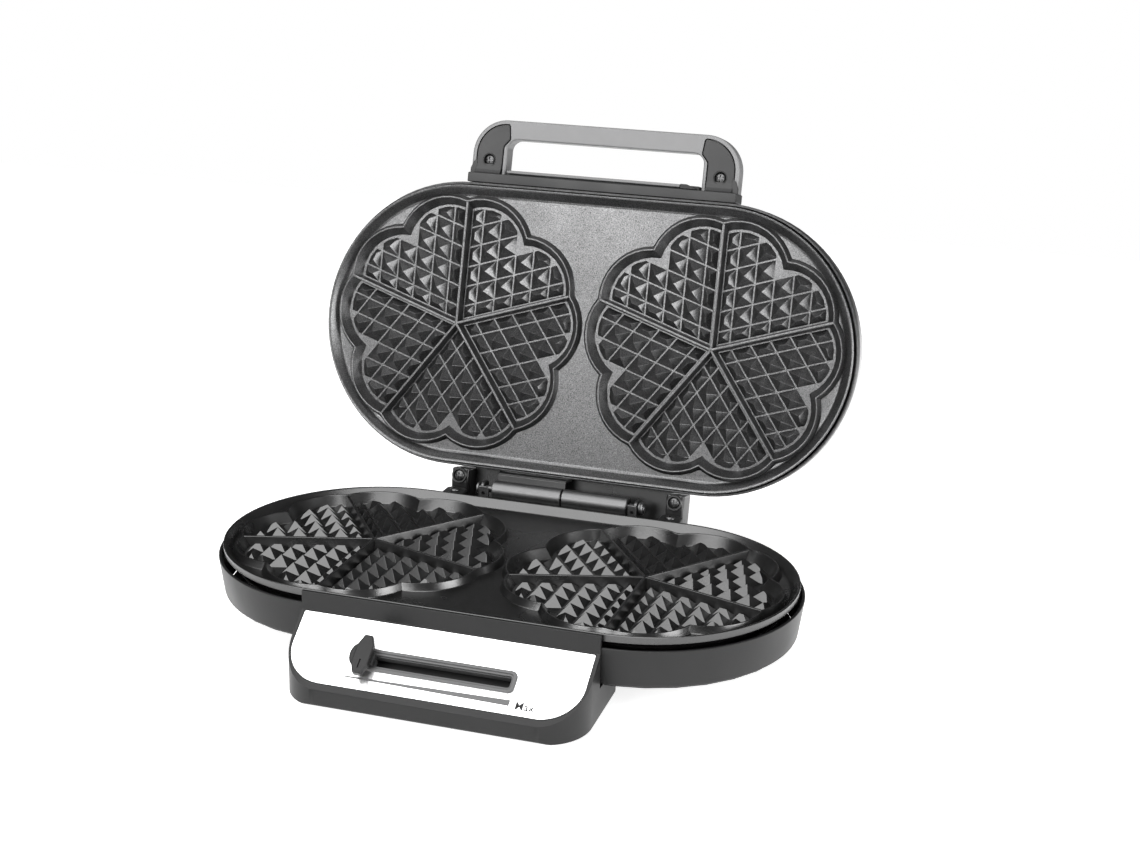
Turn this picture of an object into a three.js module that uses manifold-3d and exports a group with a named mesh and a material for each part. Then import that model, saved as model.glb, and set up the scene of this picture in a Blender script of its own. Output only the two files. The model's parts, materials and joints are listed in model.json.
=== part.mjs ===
// Double heart-waffle maker, standing open. Millimetres, +Z up, control panel towards -Y, hinge at +Y.
// Pieces are drawn round the parting plane z = 0, the level of the lower plate's rims. The lid is
// drawn closed and its group swings it open; the whole assembly is then set on its footprint.
import * as THREE from "three";
import { mergeVertices } from "three/addons/utils/BufferGeometryUtils.js";
import Module from "manifold-3d";

const wasm = await Module();
wasm.setup();

// ---------------------------------------------------------------- driving dimensions
const HALF_SPAN = 89;            // middle of the appliance to the centre of each waffle
const STANDING_Z = -52;          // surface the feet rest on
const HINGE = { y: 108.4, z: 1.3, pinRadius: 2.4, knuckleRadius: 6.3 };
const OPEN_ANGLE = 104.8;        // degrees from closed to the open stop
const CLOSED_GAP = 5;            // between the plates' rims when the lid is down
const GAP = 0.3;                 // clearance between neighbouring pieces

const PLATE = { radius: 93.7, landZ: -4.5, floorZ: -7, underZ: -10.5, skirtZ: -3.8, rimZ: 0.9 };
const HOUSING = { lipRadius: 97, lipZ: -6.9, baseRadius: 93.7, baseZ: -28.9, wall: 3 };
const LID = { radius: 96, frameLow: 9.6, frameTop: 16, domeTop: 42 };

// A waffle outline is ten arcs: each lobe's centre lies off a divider by LOBE.bearing.
const LOBE = { reach: 51.4, bearing: 13.4, radius: 35.1 };
const DIVIDER = { length: 82.5, topHalf: 0.7, baseHalf: 2, top: -0.3, front: -90, step: 72 };
const GRID = { first: 11.15, pitch: 13.3, channel: 1.3, slope: 1.09, count: 7, border: 6.5 };

const PANEL = { y: -98, z: -9.7, slope: 37.3, halfWidth: 89.7, length: 45.5, corner: 24, thick: 0.8 };
const SLOT = { middle: 26, halfHeight: 3.5, halfLength: 47 };
const TRAVEL = 85;               // of the temperature slider, from minimum to maximum
const SLIDER_X = -43;            // slider at minimum
const PLUNGER = { x: 0, z: -37.5, radius: 1.4, stroke: 2 };
const CAM = { back: -105.5, front: -110.5, low: -39, high: -36 };
const CAM_RISE = (PLUNGER.stroke * (TRAVEL + 6)) / TRAVEL;
const CAM_FACE_AT_REST = CAM.back + (CAM_RISE * 3) / (TRAVEL + 6);
const HANDLE = { halfWidth: 93, front: -139.8, corner: 23.5, bar: 12.8, low: 18, high: 31.5 };

const HEATER = { z: -14.6, radius: 3.2, loop: 50, mouth: 38 };
const REAR = { wallInside: 92.4, blockHalf: 62, blockBack: 118, blockTop: -9, earIn: 68, earOut: 83,
  earBack: 111 };
const GLAND = { x: 96, y: 91.9, z: -18.5, radius: 5.2, bore: 3.2 };
const BOSS = { x: 75.5, y: 102.1 };

// Screws and feet, by their centres in plan; the leaf screws by x alone.
const PLATE_STUDS = [[0, -70], [0, 70]];
const COVER_SCREWS = [[-130, -38], [130, -38], [-120, 52], [120, 52]];
const EAR_SCREWS = [[-75.5, 104.4], [75.5, 104.4]];
const HANDLE_SCREWS = [[-80.6, -112.2], [80.6, -112.2]];
const LEAF_SCREWS = [-44, -16, 16, 44];
const UPPER_LEAF_SCREWS = [-40, -9];
const FRONT_FEET = [[-62, -118], [62, -118]];
const REAR_FEET = [[-75.5, 113], [75.5, 113]];

const rad = THREE.MathUtils.degToRad;

// ---------------------------------------------------------------- materials
const finish = (color, roughness, metalness) =>
  new THREE.MeshStandardMaterial({ color, roughness, metalness });
const MATERIAL = {
  blackPlastic: finish(0x2e2e30, 0.38, 0),
  darkPlastic: finish(0x3c3c3e, 0.5, 0),
  nonStick: finish(0x333335, 0.45, 0.3),
  polishedSteel: finish(0xe6e6e6, 0.12, 1),
  brushedSteel: finish(0xb4b4b6, 0.32, 1),
  silver: finish(0xa6a6a8, 0.42, 0.6),
  zinc: finish(0x8c8c8e, 0.4, 1),
  aluminium: finish(0xc0c0c2, 0.35, 1),
  heater: finish(0x5a5654, 0.6, 0.8),
  ceramic: finish(0xe8e4da, 0.7, 0),
  rubber: finish(0x1a1a1a, 0.9, 0),
  insulation: finish(0xc8c4b8, 0.8, 0),
};

// ---------------------------------------------------------------- solids
/** Merge a geometry's vertices by position alone and drop the triangles that collapse. */
function weld(geometry) {
  const bare = geometry.clone();
  for (const name of Object.keys(bare.attributes)) {
    if (name !== "position") bare.deleteAttribute(name);
  }
  const merged = mergeVertices(bare, 1e-4);
  const index = [];
  for (let i = 0; i < merged.index.count; i += 3) {
    const [a, b, c] = [merged.index.getX(i), merged.index.getX(i + 1), merged.index.getX(i + 2)];
    if (a !== b && b !== c && c !== a) index.push(a, b, c);
  }
  merged.setIndex(index);
  return merged;
}

/** A closed geometry as a manifold solid. */
function solid(geometry) {
  const welded = weld(geometry);
  return new wasm.Manifold(new wasm.Mesh({
    numProp: 3,
    vertProperties: new Float32Array(welded.attributes.position.array),
    triVerts: new Uint32Array(welded.index.array),
  }));
}

/** A manifold solid as a geometry. */
function geometryOf(manifold) {
  const mesh = manifold.getMesh();
  const geometry = new THREE.BufferGeometry();
  geometry.setAttribute("position", new THREE.BufferAttribute(mesh.vertProperties, 3));
  geometry.setIndex(new THREE.BufferAttribute(mesh.triVerts, 1));
  return geometry;
}

const union = (first, ...rest) => rest.reduce((sum, next) => sum.add(solid(next)), solid(first));
const cut = (body, ...tools) => tools.reduce((left, tool) => left.subtract(solid(tool)), body);

function part(name, shape, material) {
  const geometry = shape.isBufferGeometry ? weld(shape) : geometryOf(shape);
  geometry.computeVertexNormals();
  const mesh = new THREE.Mesh(geometry, material);
  mesh.name = name;
  return mesh;
}

// ---------------------------------------------------------------- basic shapes
const outline = (points) => new THREE.Shape(points.map(([a, b]) => new THREE.Vector2(a, b)));

function block([x0, x1], [y0, y1], [z0, z1]) {
  const box = new THREE.BoxGeometry(x1 - x0, y1 - y0, z1 - z0);
  return box.translate((x0 + x1) / 2, (y0 + y1) / 2, (z0 + z1) / 2);
}

/** A profile of [radius, height] turned round +Z. */
function turned(profile, segments = 20) {
  const points = profile.map(([r, z]) => new THREE.Vector2(r, z));
  return new THREE.LatheGeometry(points, segments).rotateX(Math.PI / 2);
}

const cylinder = (radius, z0, z1, segments = 16) =>
  turned([[0, z0], [radius, z0], [radius, z1], [0, z1]], segments);

/** The same about +X: from x0 to x1, centred on (y, z). */
function rodAlongX(radius, x0, x1, y, z, segments = 20) {
  return cylinder(radius, x0, x1, segments).rotateY(Math.PI / 2).translate(0, y, z);
}

/** A turned profile pulled apart at the middle, so that its plan is a stadium. */
function stadium(profile, segments = 48) {
  const points = profile.map(([r, z]) => new THREE.Vector2(r, z));
  const geometry = new THREE.LatheGeometry(points, segments, Math.PI / segments);
  geometry.rotateX(Math.PI / 2);
  const position = geometry.attributes.position;
  for (let i = 0; i < position.count; i += 1) {
    const x = position.getX(i);
    if (Math.abs(x) > 1e-3) position.setX(i, x + Math.sign(x) * HALF_SPAN);
  }
  return geometry;
}

function extrude(shape, z0, z1, curveSegments = 6) {
  const options = { depth: z1 - z0, bevelEnabled: false, curveSegments };
  return new THREE.ExtrudeGeometry(shape, options).translate(0, 0, z0);
}

/** An outline in (y, z) drawn out along +X. */
function extrudeAlongX(points, x0, x1) {
  const axes = [new THREE.Vector3(0, 1, 0), new THREE.Vector3(0, 0, 1), new THREE.Vector3(1, 0, 0)];
  return extrude(outline(points), x0, x1).applyMatrix4(new THREE.Matrix4().makeBasis(...axes));
}

/** A round tube along a curve, with flat ends. */
function tube(curve, radius, steps, sides = 8) {
  const section = new THREE.Shape();
  for (let i = 0; i < sides; i += 1) {
    const angle = (i / sides) * 2 * Math.PI;
    section[i ? "lineTo" : "moveTo"](radius * Math.cos(angle), radius * Math.sin(angle));
  }
  const options = { steps, extrudePath: curve, bevelEnabled: false };
  return new THREE.ExtrudeGeometry(section, options);
}

/** Pan-head screw with its head's underside at z = 0, head towards +Z. */
function screw(headRadius, shankRadius, length) {
  const height = headRadius * 0.55;
  return turned([[0, -length], [shankRadius, -length], [shankRadius, 0], [headRadius, 0],
    [headRadius, height * 0.55], [headRadius * 0.6, height], [0, height]], 10);
}

/** Copies of one screw, each moved by a matrix, as numbered pieces. */
function screws(name, geometry, matrices) {
  return matrices.map((matrix, i) =>
    part(`${name}_${i + 1}`, geometry.clone().applyMatrix4(matrix), MATERIAL.zinc));
}

const at = (x, y, z) => new THREE.Matrix4().makeTranslation(x, y, z);
const TIP_UP_TO_BACK = new THREE.Matrix4().makeRotationX(-Math.PI / 2);
const UPSIDE_DOWN = new THREE.Matrix4().makeRotationX(Math.PI);

/** The mirror image of a geometry above the closed gap's middle: lower pieces to upper ones. */
function flippedToLid(geometry) {
  const flipped = weld(geometry);
  flipped.scale(1, 1, -1).translate(0, 0, CLOSED_GAP);
  const index = Array.from(flipped.index.array);
  for (let i = 0; i < index.length; i += 3) [index[i], index[i + 1]] = [index[i + 1], index[i]];
  flipped.setIndex(index);
  return flipped;
}

// ---------------------------------------------------------------- waffle plates
/** Distance from a waffle's centre to its outline, inset by a margin, off a divider by degrees. */
function outlineRadius(degreesOffDivider, inset) {
  const angle = rad(Math.abs(degreesOffDivider) - LOBE.bearing);
  const across = LOBE.reach * Math.sin(angle);
  return LOBE.reach * Math.cos(angle) + Math.sqrt((LOBE.radius - inset) ** 2 - across ** 2);
}

/** A solid whose plan is the waffle outline, through levels of [inset, z] from bottom to top. */
function waffleLoft(levels, stepsPerLobe = 3) {
  const ring = 10 * stepsPerLobe;
  const positions = [];
  for (const [inset, z] of levels) {
    for (let i = 0; i < ring; i += 1) {
      const degrees = (i * 360) / ring;
      const offDivider = ((degrees + 36) % 72) - 36;
      const radius = outlineRadius(offDivider, inset);
      const bearing = rad(degrees + DIVIDER.front);
      positions.push(radius * Math.cos(bearing), radius * Math.sin(bearing), z);
    }
  }
  const index = [];
  for (let level = 0; level + 1 < levels.length; level += 1) {
    for (let i = 0; i < ring; i += 1) {
      const [a, b] = [level * ring + i, level * ring + ((i + 1) % ring)];
      index.push(a, b, b + ring, a, b + ring, a + ring);
    }
  }
  const bottom = positions.length / 3;
  positions.push(0, 0, levels[0][1], 0, 0, levels.at(-1)[1]);
  const lastRing = (levels.length - 1) * ring;
  for (let i = 0; i < ring; i += 1) {
    const next = (i + 1) % ring;
    index.push(bottom, next, i, bottom + 1, lastRing + i, lastRing + next);
  }
  const geometry = new THREE.BufferGeometry();
  geometry.setAttribute("position", new THREE.Float32BufferAttribute(positions, 3));
  geometry.setIndex(index);
  return geometry;
}

/** Keep the part of a convex polygon on the left of the line from one point to another. */
function clipPolygon(polygon, from, to) {
  const side = ([x, y]) => (to[0] - from[0]) * (y - from[1]) - (to[1] - from[1]) * (x - from[0]);
  const kept = [];
  polygon.forEach((point, i) => {
    const next = polygon[(i + 1) % polygon.length];
    const [here, there] = [side(point), side(next)];
    if (here >= 0) kept.push(point);
    if (here * there < 0) {
      const share = here / (here - there);
      kept.push([point[0] + share * (next[0] - point[0]), point[1] + share * (next[1] - point[1])]);
    }
  });
  return kept;
}

function polygonArea(polygon) {
  return polygon.reduce((sum, [x, y], i) => {
    const [u, v] = polygon[(i + 1) % polygon.length];
    return sum + (x * v - u * y) / 2;
  }, 0);
}

/** The lobe beside a divider as a convex polygon: divider along +X, cleft at 36 degrees. */
function lobePolygon(steps = 2) {
  const points = [[0, 0]];
  for (let i = 0; i <= steps; i += 1) {
    const degrees = (36 * i) / steps;
    const radius = outlineRadius(degrees, GRID.border);
    points.push([radius * Math.cos(rad(degrees)), radius * Math.sin(rad(degrees))]);
  }
  return points;
}

/** A pyramid on a convex polygon, every side sloping alike: a hipped roof on a long one. */
function pyramidOn(polygon) {
  const eaves = PLATE.floorZ - 0.2;
  let roof = solid(extrude(outline(polygon), eaves - 0.4, eaves + 12));
  polygon.forEach(([x, y], i) => {
    const [u, v] = polygon[(i + 1) % polygon.length];
    const length = Math.hypot(u - x, v - y);
    if (length < 0.05) return;
    const inward = [-(v - y) / length, (u - x) / length];
    const normal = [GRID.slope * inward[0], GRID.slope * inward[1], -1];
    const offset = GRID.slope * (inward[0] * x + inward[1] * y) - eaves;
    roof = roof.trimByPlane(normal, offset / Math.hypot(...normal));
  });
  return geometryOf(roof);
}

/** The pyramids on one side of a heart, the divider along +X and the heart to its left. */
function halfHeartPyramids() {
  const skew = [Math.cos(rad(DIVIDER.step)), Math.sin(rad(DIVIDER.step))];
  const lobe = lobePolygon();
  const lines = [0];
  for (let i = 0; i < GRID.count; i += 1) lines.push(GRID.first + i * GRID.pitch);
  const margin = GRID.channel / 2 / skew[1];
  const besideDivider = (DIVIDER.baseHalf + 0.6) / skew[1];
  const span = (i) => [i ? lines[i] + margin : besideDivider, lines[i + 1] - margin];
  const pyramids = [];
  for (let i = 0; i < GRID.count; i += 1) {
    for (let j = 0; j <= i; j += 1) {
      const [[u0, u1], [v0, v1]] = [span(i), span(j)];
      const corners = [[u0, v0], [u1, v0], [u1, v1], [u0, v1]];
      let cell = corners.map(([u, v]) => [u + v * skew[0], v * skew[1]]);
      const whole = Math.abs(polygonArea(cell));
      if (i === j && i > 2) continue;
      for (let k = 1; i !== j && k + 1 < lobe.length; k += 1) {
        cell = clipPolygon(cell, lobe[k], lobe[k + 1]);
        if (cell.length < 3) break;
      }
      if (cell.length < 3 || polygonArea(cell) < 0.3 * whole) continue;
      pyramids.push({ shape: pyramidOn(cell), onDiagonal: i === j });
    }
  }
  return pyramids;
}

/** All pyramids of one waffle, round its centre. */
function wafflePyramids() {
  const half = halfHeartPyramids();
  const mirrorAcross = new THREE.Matrix4().makeScale(1, -1, 1);
  const all = [];
  for (let k = 0; k < 5; k += 1) {
    const divider = new THREE.Matrix4().makeRotationZ(rad(DIVIDER.front + DIVIDER.step * k));
    const nextDivider = new THREE.Matrix4().makeRotationZ(rad(DIVIDER.front + DIVIDER.step * (k + 1)));
    for (const { shape, onDiagonal } of half) {
      all.push(shape.clone().applyMatrix4(divider));
      if (onDiagonal) continue;
      const mirrored = weld(shape).applyMatrix4(mirrorAcross);
      const index = Array.from(mirrored.index.array);
      for (let i = 0; i < index.length; i += 3) [index[i], index[i + 1]] = [index[i + 1], index[i]];
      mirrored.setIndex(index);
      all.push(mirrored.applyMatrix4(nextDivider));
    }
  }
  return all;
}

/** One divider: a ridge from a waffle's centre to its rim. */
function dividerRidge(k) {
  const { topHalf, baseHalf, top, length } = DIVIDER;
  const low = PLATE.floorZ - 0.5;
  const section = [[-baseHalf, low], [baseHalf, low], [topHalf, top], [-topHalf, top]];
  return extrudeAlongX(section, 0, length).rotateZ(rad(DIVIDER.front + DIVIDER.step * k));
}

/** The lower plate, with its rims, wells, dividers and pyramids, and holes for its studs. */
function wafflePlate() {
  const { radius, landZ, floorZ, underZ, skirtZ, rimZ } = PLATE;
  let plate = solid(stadium([[0, underZ], [84.5, underZ], [87.5, -7.5], [90.5, skirtZ],
    [radius - 0.5, skirtZ], [radius, rimZ], [radius - 1.4, rimZ], [87.5, landZ], [0, landZ]]));
  const rim = waffleLoft([[-1.6, landZ - 1], [-1.4, landZ], [0, 0]]);
  const well = waffleLoft([[5, floorZ], [0.9, 0], [0.4, 1]]);
  const pyramids = wafflePyramids();
  const sides = [-HALF_SPAN, HALF_SPAN];
  for (const x of sides) plate = plate.add(solid(rim.clone().translate(x, 0, 0)));
  for (const x of sides) plate = plate.subtract(solid(well.clone().translate(x, 0, 0)));
  for (const x of sides) {
    for (let k = 0; k < 5; k += 1) plate = plate.add(solid(dividerRidge(k).translate(x, 0, 0)));
    for (const shape of pyramids) plate = plate.add(solid(shape.clone().translate(x, 0, 0)));
  }
  const studs = PLATE_STUDS.map(([x, y]) => cylinder(1.8, underZ - 1, underZ + 3.5, 8).translate(x, y, 0));
  return cut(plate, ...studs);
}

// ---------------------------------------------------------------- heating, under each plate

/** One bent element: round one waffle, across the middle and round the other. */
function heaterElement() {
  const { z, radius, loop, mouth } = HEATER;
  const points = [new THREE.Vector3(-9, -62, z), new THREE.Vector3(-14, -44, z)];
  const arc = (centre, from, to) => {
    for (let i = 0; i <= 8; i += 1) {
      const bearing = rad(from + ((to - from) * i) / 8);
      points.push(new THREE.Vector3(centre + loop * Math.cos(bearing), loop * Math.sin(bearing), z));
    }
  };
  arc(-HALF_SPAN, -mouth, mouth - 360);
  arc(HALF_SPAN, 180 - mouth, mouth - 180);
  points.push(new THREE.Vector3(14, -44, z), new THREE.Vector3(9, -62, z));
  return tube(new THREE.CatmullRomCurve3(points, false, "catmullrom", 0.5), radius, 44, 6);
}

/** Sheet tray that turns the heat back to the plate. */
function reflectorTray() {
  const sheet = 0.8;
  const tray = solid(stadium([[0, -20.5], [80, -20.5], [86.5, -12.4], [86.5 - 1.1, -12.4],
    [79.6, -20.5 + sheet], [0, -20.5 + sheet]], 32));
  const studs = PLATE_STUDS.map(([x, y]) => cylinder(1.9, -22, -18, 8).translate(x, y, 0));
  return cut(tray, ...studs);
}

/** Matrices of the screws that hold the tray to the plate, heads down. */
const trayScrewPlaces = () =>
  PLATE_STUDS.map(([x, y]) => at(x, y, -20.8).multiply(UPSIDE_DOWN));

// ---------------------------------------------------------------- base

/** Where the cable gland sits, on the rear of the housing's right end, pointing back. */
const glandMatrix = () => at(GLAND.x, GLAND.y, GLAND.z).multiply(TIP_UP_TO_BACK);

/** Outer wall ring, before any holes. */
function housingRing() {
  const { lipRadius, lipZ, baseRadius, baseZ, wall } = HOUSING;
  return stadium([[91.2, -30.3], [baseRadius - 0.9, -30.3], [baseRadius, baseZ],
    [lipRadius, lipZ], [lipRadius - 0.5, lipZ + 0.6], [lipRadius - 2.2, lipZ + 0.6],
    [lipRadius - wall, lipZ - 1.5], [baseRadius - wall, baseZ + 1], [91.2, -30.3]]);
}

function baseHousing() {
  const glandHole = cylinder(GLAND.radius + GAP, -8, 12, 12).applyMatrix4(glandMatrix());
  const frontLip = block([-92.4, 92.4], [-98, -96.1], [-10.6, -5]);
  return cut(solid(housingRing()), glandHole, frontLip);
}

/** All that lies within the wall's outside, to trim what is fixed behind it. */
function housingEnvelope() {
  const { lipRadius, lipZ, baseRadius, baseZ } = HOUSING;
  return stadium([[0, -30.3], [baseRadius - 0.9, -30.3], [baseRadius, baseZ],
    [lipRadius, lipZ], [lipRadius - 0.5, lipZ + 0.6], [0, lipZ + 0.6]]);
}

/** Hollow block behind the wall that carries the lower hinge leaf. */
function hingeBlock() {
  const { wallInside, blockHalf, blockBack, blockTop } = REAR;
  const outside = solid(block([-blockHalf, blockHalf], [wallInside, blockBack], [-29.8, blockTop]));
  const core = block([-blockHalf + 3, blockHalf - 3], [97.5, 115], [-31, -13]);
  const leafHoles = LEAF_SCREWS.map((x) => cylinder(1.5, -20, -8, 8).translate(x, 104, 0));
  return cut(outside, housingEnvelope(), core, ...leafHoles);
}

/** Screw ear and standing leg at one side of the hinge. */
function rearLeg(side) {
  const { wallInside, earIn, earOut, earBack } = REAR;
  const across = [side * earIn, side * earOut].sort((a, b) => a - b);
  const leg = union(
    block(across, [wallInside, earBack], [-31, -8]),
    block(across, [wallInside + 2, earBack], [-9, -1.2]),
    block(across, [wallInside + 2, earBack], [-50.3, -30]),
    block(across, [wallInside + 2, 125], [-50.3, -36]),
  );
  const holes = EAR_SCREWS.map(([x, y]) => cylinder(1.7, -16, 0, 8).translate(x, y, 0));
  return cut(leg, housingEnvelope(), ...holes);
}

function cableGland() {
  const { radius, bore } = GLAND;
  const profile = [[bore, -5], [radius, -5], [radius, 5], [radius + 2, 5], [radius + 1.4, 8],
    [bore + 0.6, 8], [bore, 7], [bore, -5]];
  return turned(profile, 16).applyMatrix4(glandMatrix());
}

/** Underside pan, notched round the control housing, with a tongue that closes the hinge block. */
function bottomCover() {
  const pan = solid(stadium([[0, -33.6], [86, -33.6], [91.6, -31.2], [91.6, -30.6], [84, -30.6],
    [84, -31.6], [0, -31.6]], 32));
  const tongue = block([-60, 60], [86, 117.5], [-32.4, -30.6]);
  const holes = COVER_SCREWS.map(([x, y]) => cylinder(1.9, -36, -30, 8).translate(x, y, 0));
  return cut(pan.add(solid(tongue)), block([-92.6, 92.6], [-120, -65.4], [-36, -29]), ...holes);
}

const coverScrewPlaces = () =>
  COVER_SCREWS.map(([x, y]) => at(x, y, -33.9).multiply(UPSIDE_DOWN));

const footPad = (x, y, top) => turned([[0, STANDING_Z], [5.6, STANDING_Z], [6.4, STANDING_Z + 0.6],
  [6.4, top], [0, top]], 16).translate(x, y, 0);

// ---------------------------------------------------------------- front handle and control
/** Matrix of the sloping panel's frame: +Y up the slope from its upper edge, +Z out of it. */
function panelMatrix() {
  return at(0, PANEL.y, PANEL.z).multiply(new THREE.Matrix4().makeRotationX(rad(PANEL.slope)));
}

/** Plan of the front handle: square at the back, round at the front corners. */
function handlePlan(halfWidth, front, back, corner) {
  const plan = new THREE.Shape();
  plan.moveTo(-halfWidth, back);
  plan.lineTo(-halfWidth, front + corner);
  plan.absarc(-halfWidth + corner, front + corner, corner, Math.PI, 1.5 * Math.PI, false);
  plan.absarc(halfWidth - corner, front + corner, corner, 1.5 * Math.PI, 2 * Math.PI, false);
  plan.lineTo(halfWidth, back);
  plan.closePath();
  return plan;
}

/** Plan of the sloping panel in its own frame, round at its lower corners. */
const panelPlan = (margin) => handlePlan(PANEL.halfWidth + margin, -PANEL.length - margin,
  -0.6 + margin, PANEL.corner + margin);

function roundedSlot(halfLength, halfHeight, corner) {
  const slot = new THREE.Shape();
  const [x, y] = [halfLength - corner, halfHeight - corner];
  slot.absarc(x, y, corner, 0, Math.PI / 2, false);
  slot.absarc(-x, y, corner, Math.PI / 2, Math.PI, false);
  slot.absarc(-x, -y, corner, Math.PI, 1.5 * Math.PI, false);
  slot.absarc(x, -y, corner, 1.5 * Math.PI, 2 * Math.PI, false);
  slot.closePath();
  return slot;
}

/** Wedge-shaped shell: the grip in front of the plate and the housing of the controls. */
function controlHousing() {
  const outer = solid(extrudeAlongX([[-95.2, 1.6], [-98, 1.6], [-98, PANEL.z], [-135.7, -38.4],
    [-137.2, -40.4], [-137.2, -50], [-135.8, -51.2], [-66, -46.4], [-66, -31], [-97.6, -31],
    [-97.6, -10.2], [-96.5, -10.2], [-96.5, -5.9], [-95.2, -5.9]], -92, 92));
  const plan = extrude(handlePlan(92, -137.2, -60, 26), -60, 10);
  const hollow = solid(extrudeAlongX([[-100.4, -15], [-133.6, -40.3], [-134.6, -42], [-134.6, -60],
    [-68.6, -60], [-68.6, -33.6], [-100.4, -33.6]], -89.4, 89.4));
  const hollowPlan = extrude(handlePlan(89.4, -134.6, -60, 23.4), -62, 12);
  const shell = outer.intersect(solid(plan)).subtract(hollow.intersect(solid(hollowPlan)));
  const recess = extrude(panelPlan(0.3), -1, 3, 8).applyMatrix4(panelMatrix());
  const slot = extrude(roundedSlot(SLOT.halfLength, SLOT.halfHeight, 1.5), -9, 3, 3);
  slot.translate(0, -SLOT.middle, 0).applyMatrix4(panelMatrix());
  const tubeHole = block([-2.5, 2.5], [-77.5, -72.5], [-35, -30]);
  return cut(shell, recess, slot, tubeHole);
}

/** Panel that closes the front handle from below, with a boss over each foot. */
function controlCover() {
  const slab = [[-134.2, -49.4], [-69, -44.9], [-69, -46.4], [-134.2, -50.8]];
  const plan = extrude(handlePlan(89, -134.2, -60, 23), -60, 12);
  const bosses = FRONT_FEET.map(([x, y]) => cylinder(7.5, -50.9, -48, 16).translate(x, y, 0));
  return solid(extrudeAlongX(slab, -89, 89)).intersect(solid(plan)).add(union(...bosses));
}

function controlPanel() {
  const plan = panelPlan(0);
  const hole = roundedSlot(SLOT.halfLength + 0.4, SLOT.halfHeight + 0.4, 1.9);
  const moved = hole.getPoints(3).map((p) => new THREE.Vector2(p.x, p.y - SLOT.middle));
  plan.holes.push(new THREE.Path(moved));
  return extrude(plan, -PANEL.thick, 0, 8).applyMatrix4(panelMatrix());
}

/** Frame that stands proud round the slot. */
function slotFrame() {
  const rim = roundedSlot(SLOT.halfLength + 2.4, 6.9, 3.6);
  rim.holes.push(new THREE.Path(roundedSlot(SLOT.halfLength, SLOT.halfHeight, 1.5).getPoints(3)));
  return extrude(rim, 0.1, 1.3, 4).translate(0, -SLOT.middle, 0).applyMatrix4(panelMatrix());
}

/** Channel under the slot that the slider's carriage runs in. */
function sliderGuide() {
  const half = SLOT.halfLength + 3;
  const body = solid(block([-half, half], [-6.5, 6.5], [-13, -4.2]));
  const run = block([-half + 2, half - 2], [-4.3, 4.3], [-11.6, 0]);
  const floorSlot = block([-half + 2, half - 2], [-1.6, 1.6], [-15, -10]);
  return geometryOf(cut(body, run, floorSlot)).translate(0, -SLOT.middle, 0).applyMatrix4(panelMatrix());
}

/** Runner in the guide with its stem up through the slot, and the cam bar on its lever. */
function sliderCarriage() {
  const upper = [
    block([-4.6, 4.6], [-4, 4], [-11.3, -4.6]),
    block([-3.4, 3.4], [-2.9, 2.9], [-5, 3.6]),
    block([-2.4, 2.4], [-1.2, 1.2], [-16.2, -11]),
  ].map((piece) => piece.translate(SLIDER_X, -SLOT.middle, 0).applyMatrix4(panelMatrix()));
  const camFrom = PLUNGER.x - TRAVEL - 3;
  const camTo = PLUNGER.x + 3;
  const plan = [[camFrom, CAM.front], [camTo, CAM.front], [camTo, CAM.back],
    [camFrom, CAM.back + CAM_RISE]];
  return union(...upper, extrude(outline(plan), CAM.low, CAM.high));
}

/** Push rod that the cam bar drives back into the thermostat. */
function thermostatPlunger() {
  const profile = [[0, 0], [0.6, 0], [PLUNGER.radius, 1.2], [PLUNGER.radius, 24], [0, 24]];
  const rod = turned(profile, 12).applyMatrix4(TIP_UP_TO_BACK);
  return rod.translate(PLUNGER.x, CAM_FACE_AT_REST + 0.45, PLUNGER.z);
}

function sliderKnob() {
  const plate = outline([[-2.4, 12.4], [2.4, 12.4], [5, 6], [5, -6.4], [2.4, -12.4], [-2.4, -12.4],
    [-5, -6.4], [-5, 6]]);
  const tab = new THREE.Shape().absellipse(-4.4, 0.4, 4.2, 7, 0, 2 * Math.PI, false, 0);
  const grip = union(extrude(plate, 5.2, 9.2), extrude(tab, 4.4, 7.4, 8),
    block([-4.2, 4.2], [-3.8, 3.8], [3.9, 5.6]));
  const notch = block([-0.4, 0.4], [-9.2, -3.4], [8.6, 10]);
  const knob = geometryOf(cut(grip, notch)).translate(SLIDER_X + 1.6, -SLOT.middle - 1.2, 0);
  return knob.applyMatrix4(panelMatrix());
}

/** Switch body behind the control housing's front wall, bored for the push rod. */
function thermostatBody() {
  const body = solid(block([-13, 13], [-84, -69.4], [-43.5, -34.2]));
  const bore = cylinder(PLUNGER.radius + 0.3, -8, 9, 12).applyMatrix4(TIP_UP_TO_BACK);
  return cut(body, bore.translate(PLUNGER.x, -84, PLUNGER.z));
}

/** Sensing bulb under the plate and the thin tube down to the thermostat. */
function sensorBulb() {
  const bulb = cylinder(2, -16, 16, 10).rotateY(Math.PI / 2).translate(0, -55, -24.2);
  const points = [[0, -55.4, -25], [0, -62, -25.6], [0, -70, -26.4], [0, -74.6, -29], [0, -75, -33.9]];
  const path = new THREE.CatmullRomCurve3(points.map(([x, y, z]) => new THREE.Vector3(x, y, z)));
  return union(bulb, tube(path, 1, 12, 6));
}

// ---------------------------------------------------------------- hinge
/** Rolled knuckle from x0 to x1 round the pin. */
function knuckle(x0, x1) {
  const ring = solid(rodAlongX(HINGE.knuckleRadius, x0, x1, HINGE.y, HINGE.z, 24));
  return cut(ring, rodAlongX(HINGE.pinRadius + GAP, x0 - 1, x1 + 1, HINGE.y, HINGE.z, 16));
}

const withPinHole = (body) =>
  cut(body, rodAlongX(HINGE.pinRadius + GAP, -70, 70, HINGE.y, HINGE.z, 16));

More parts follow.
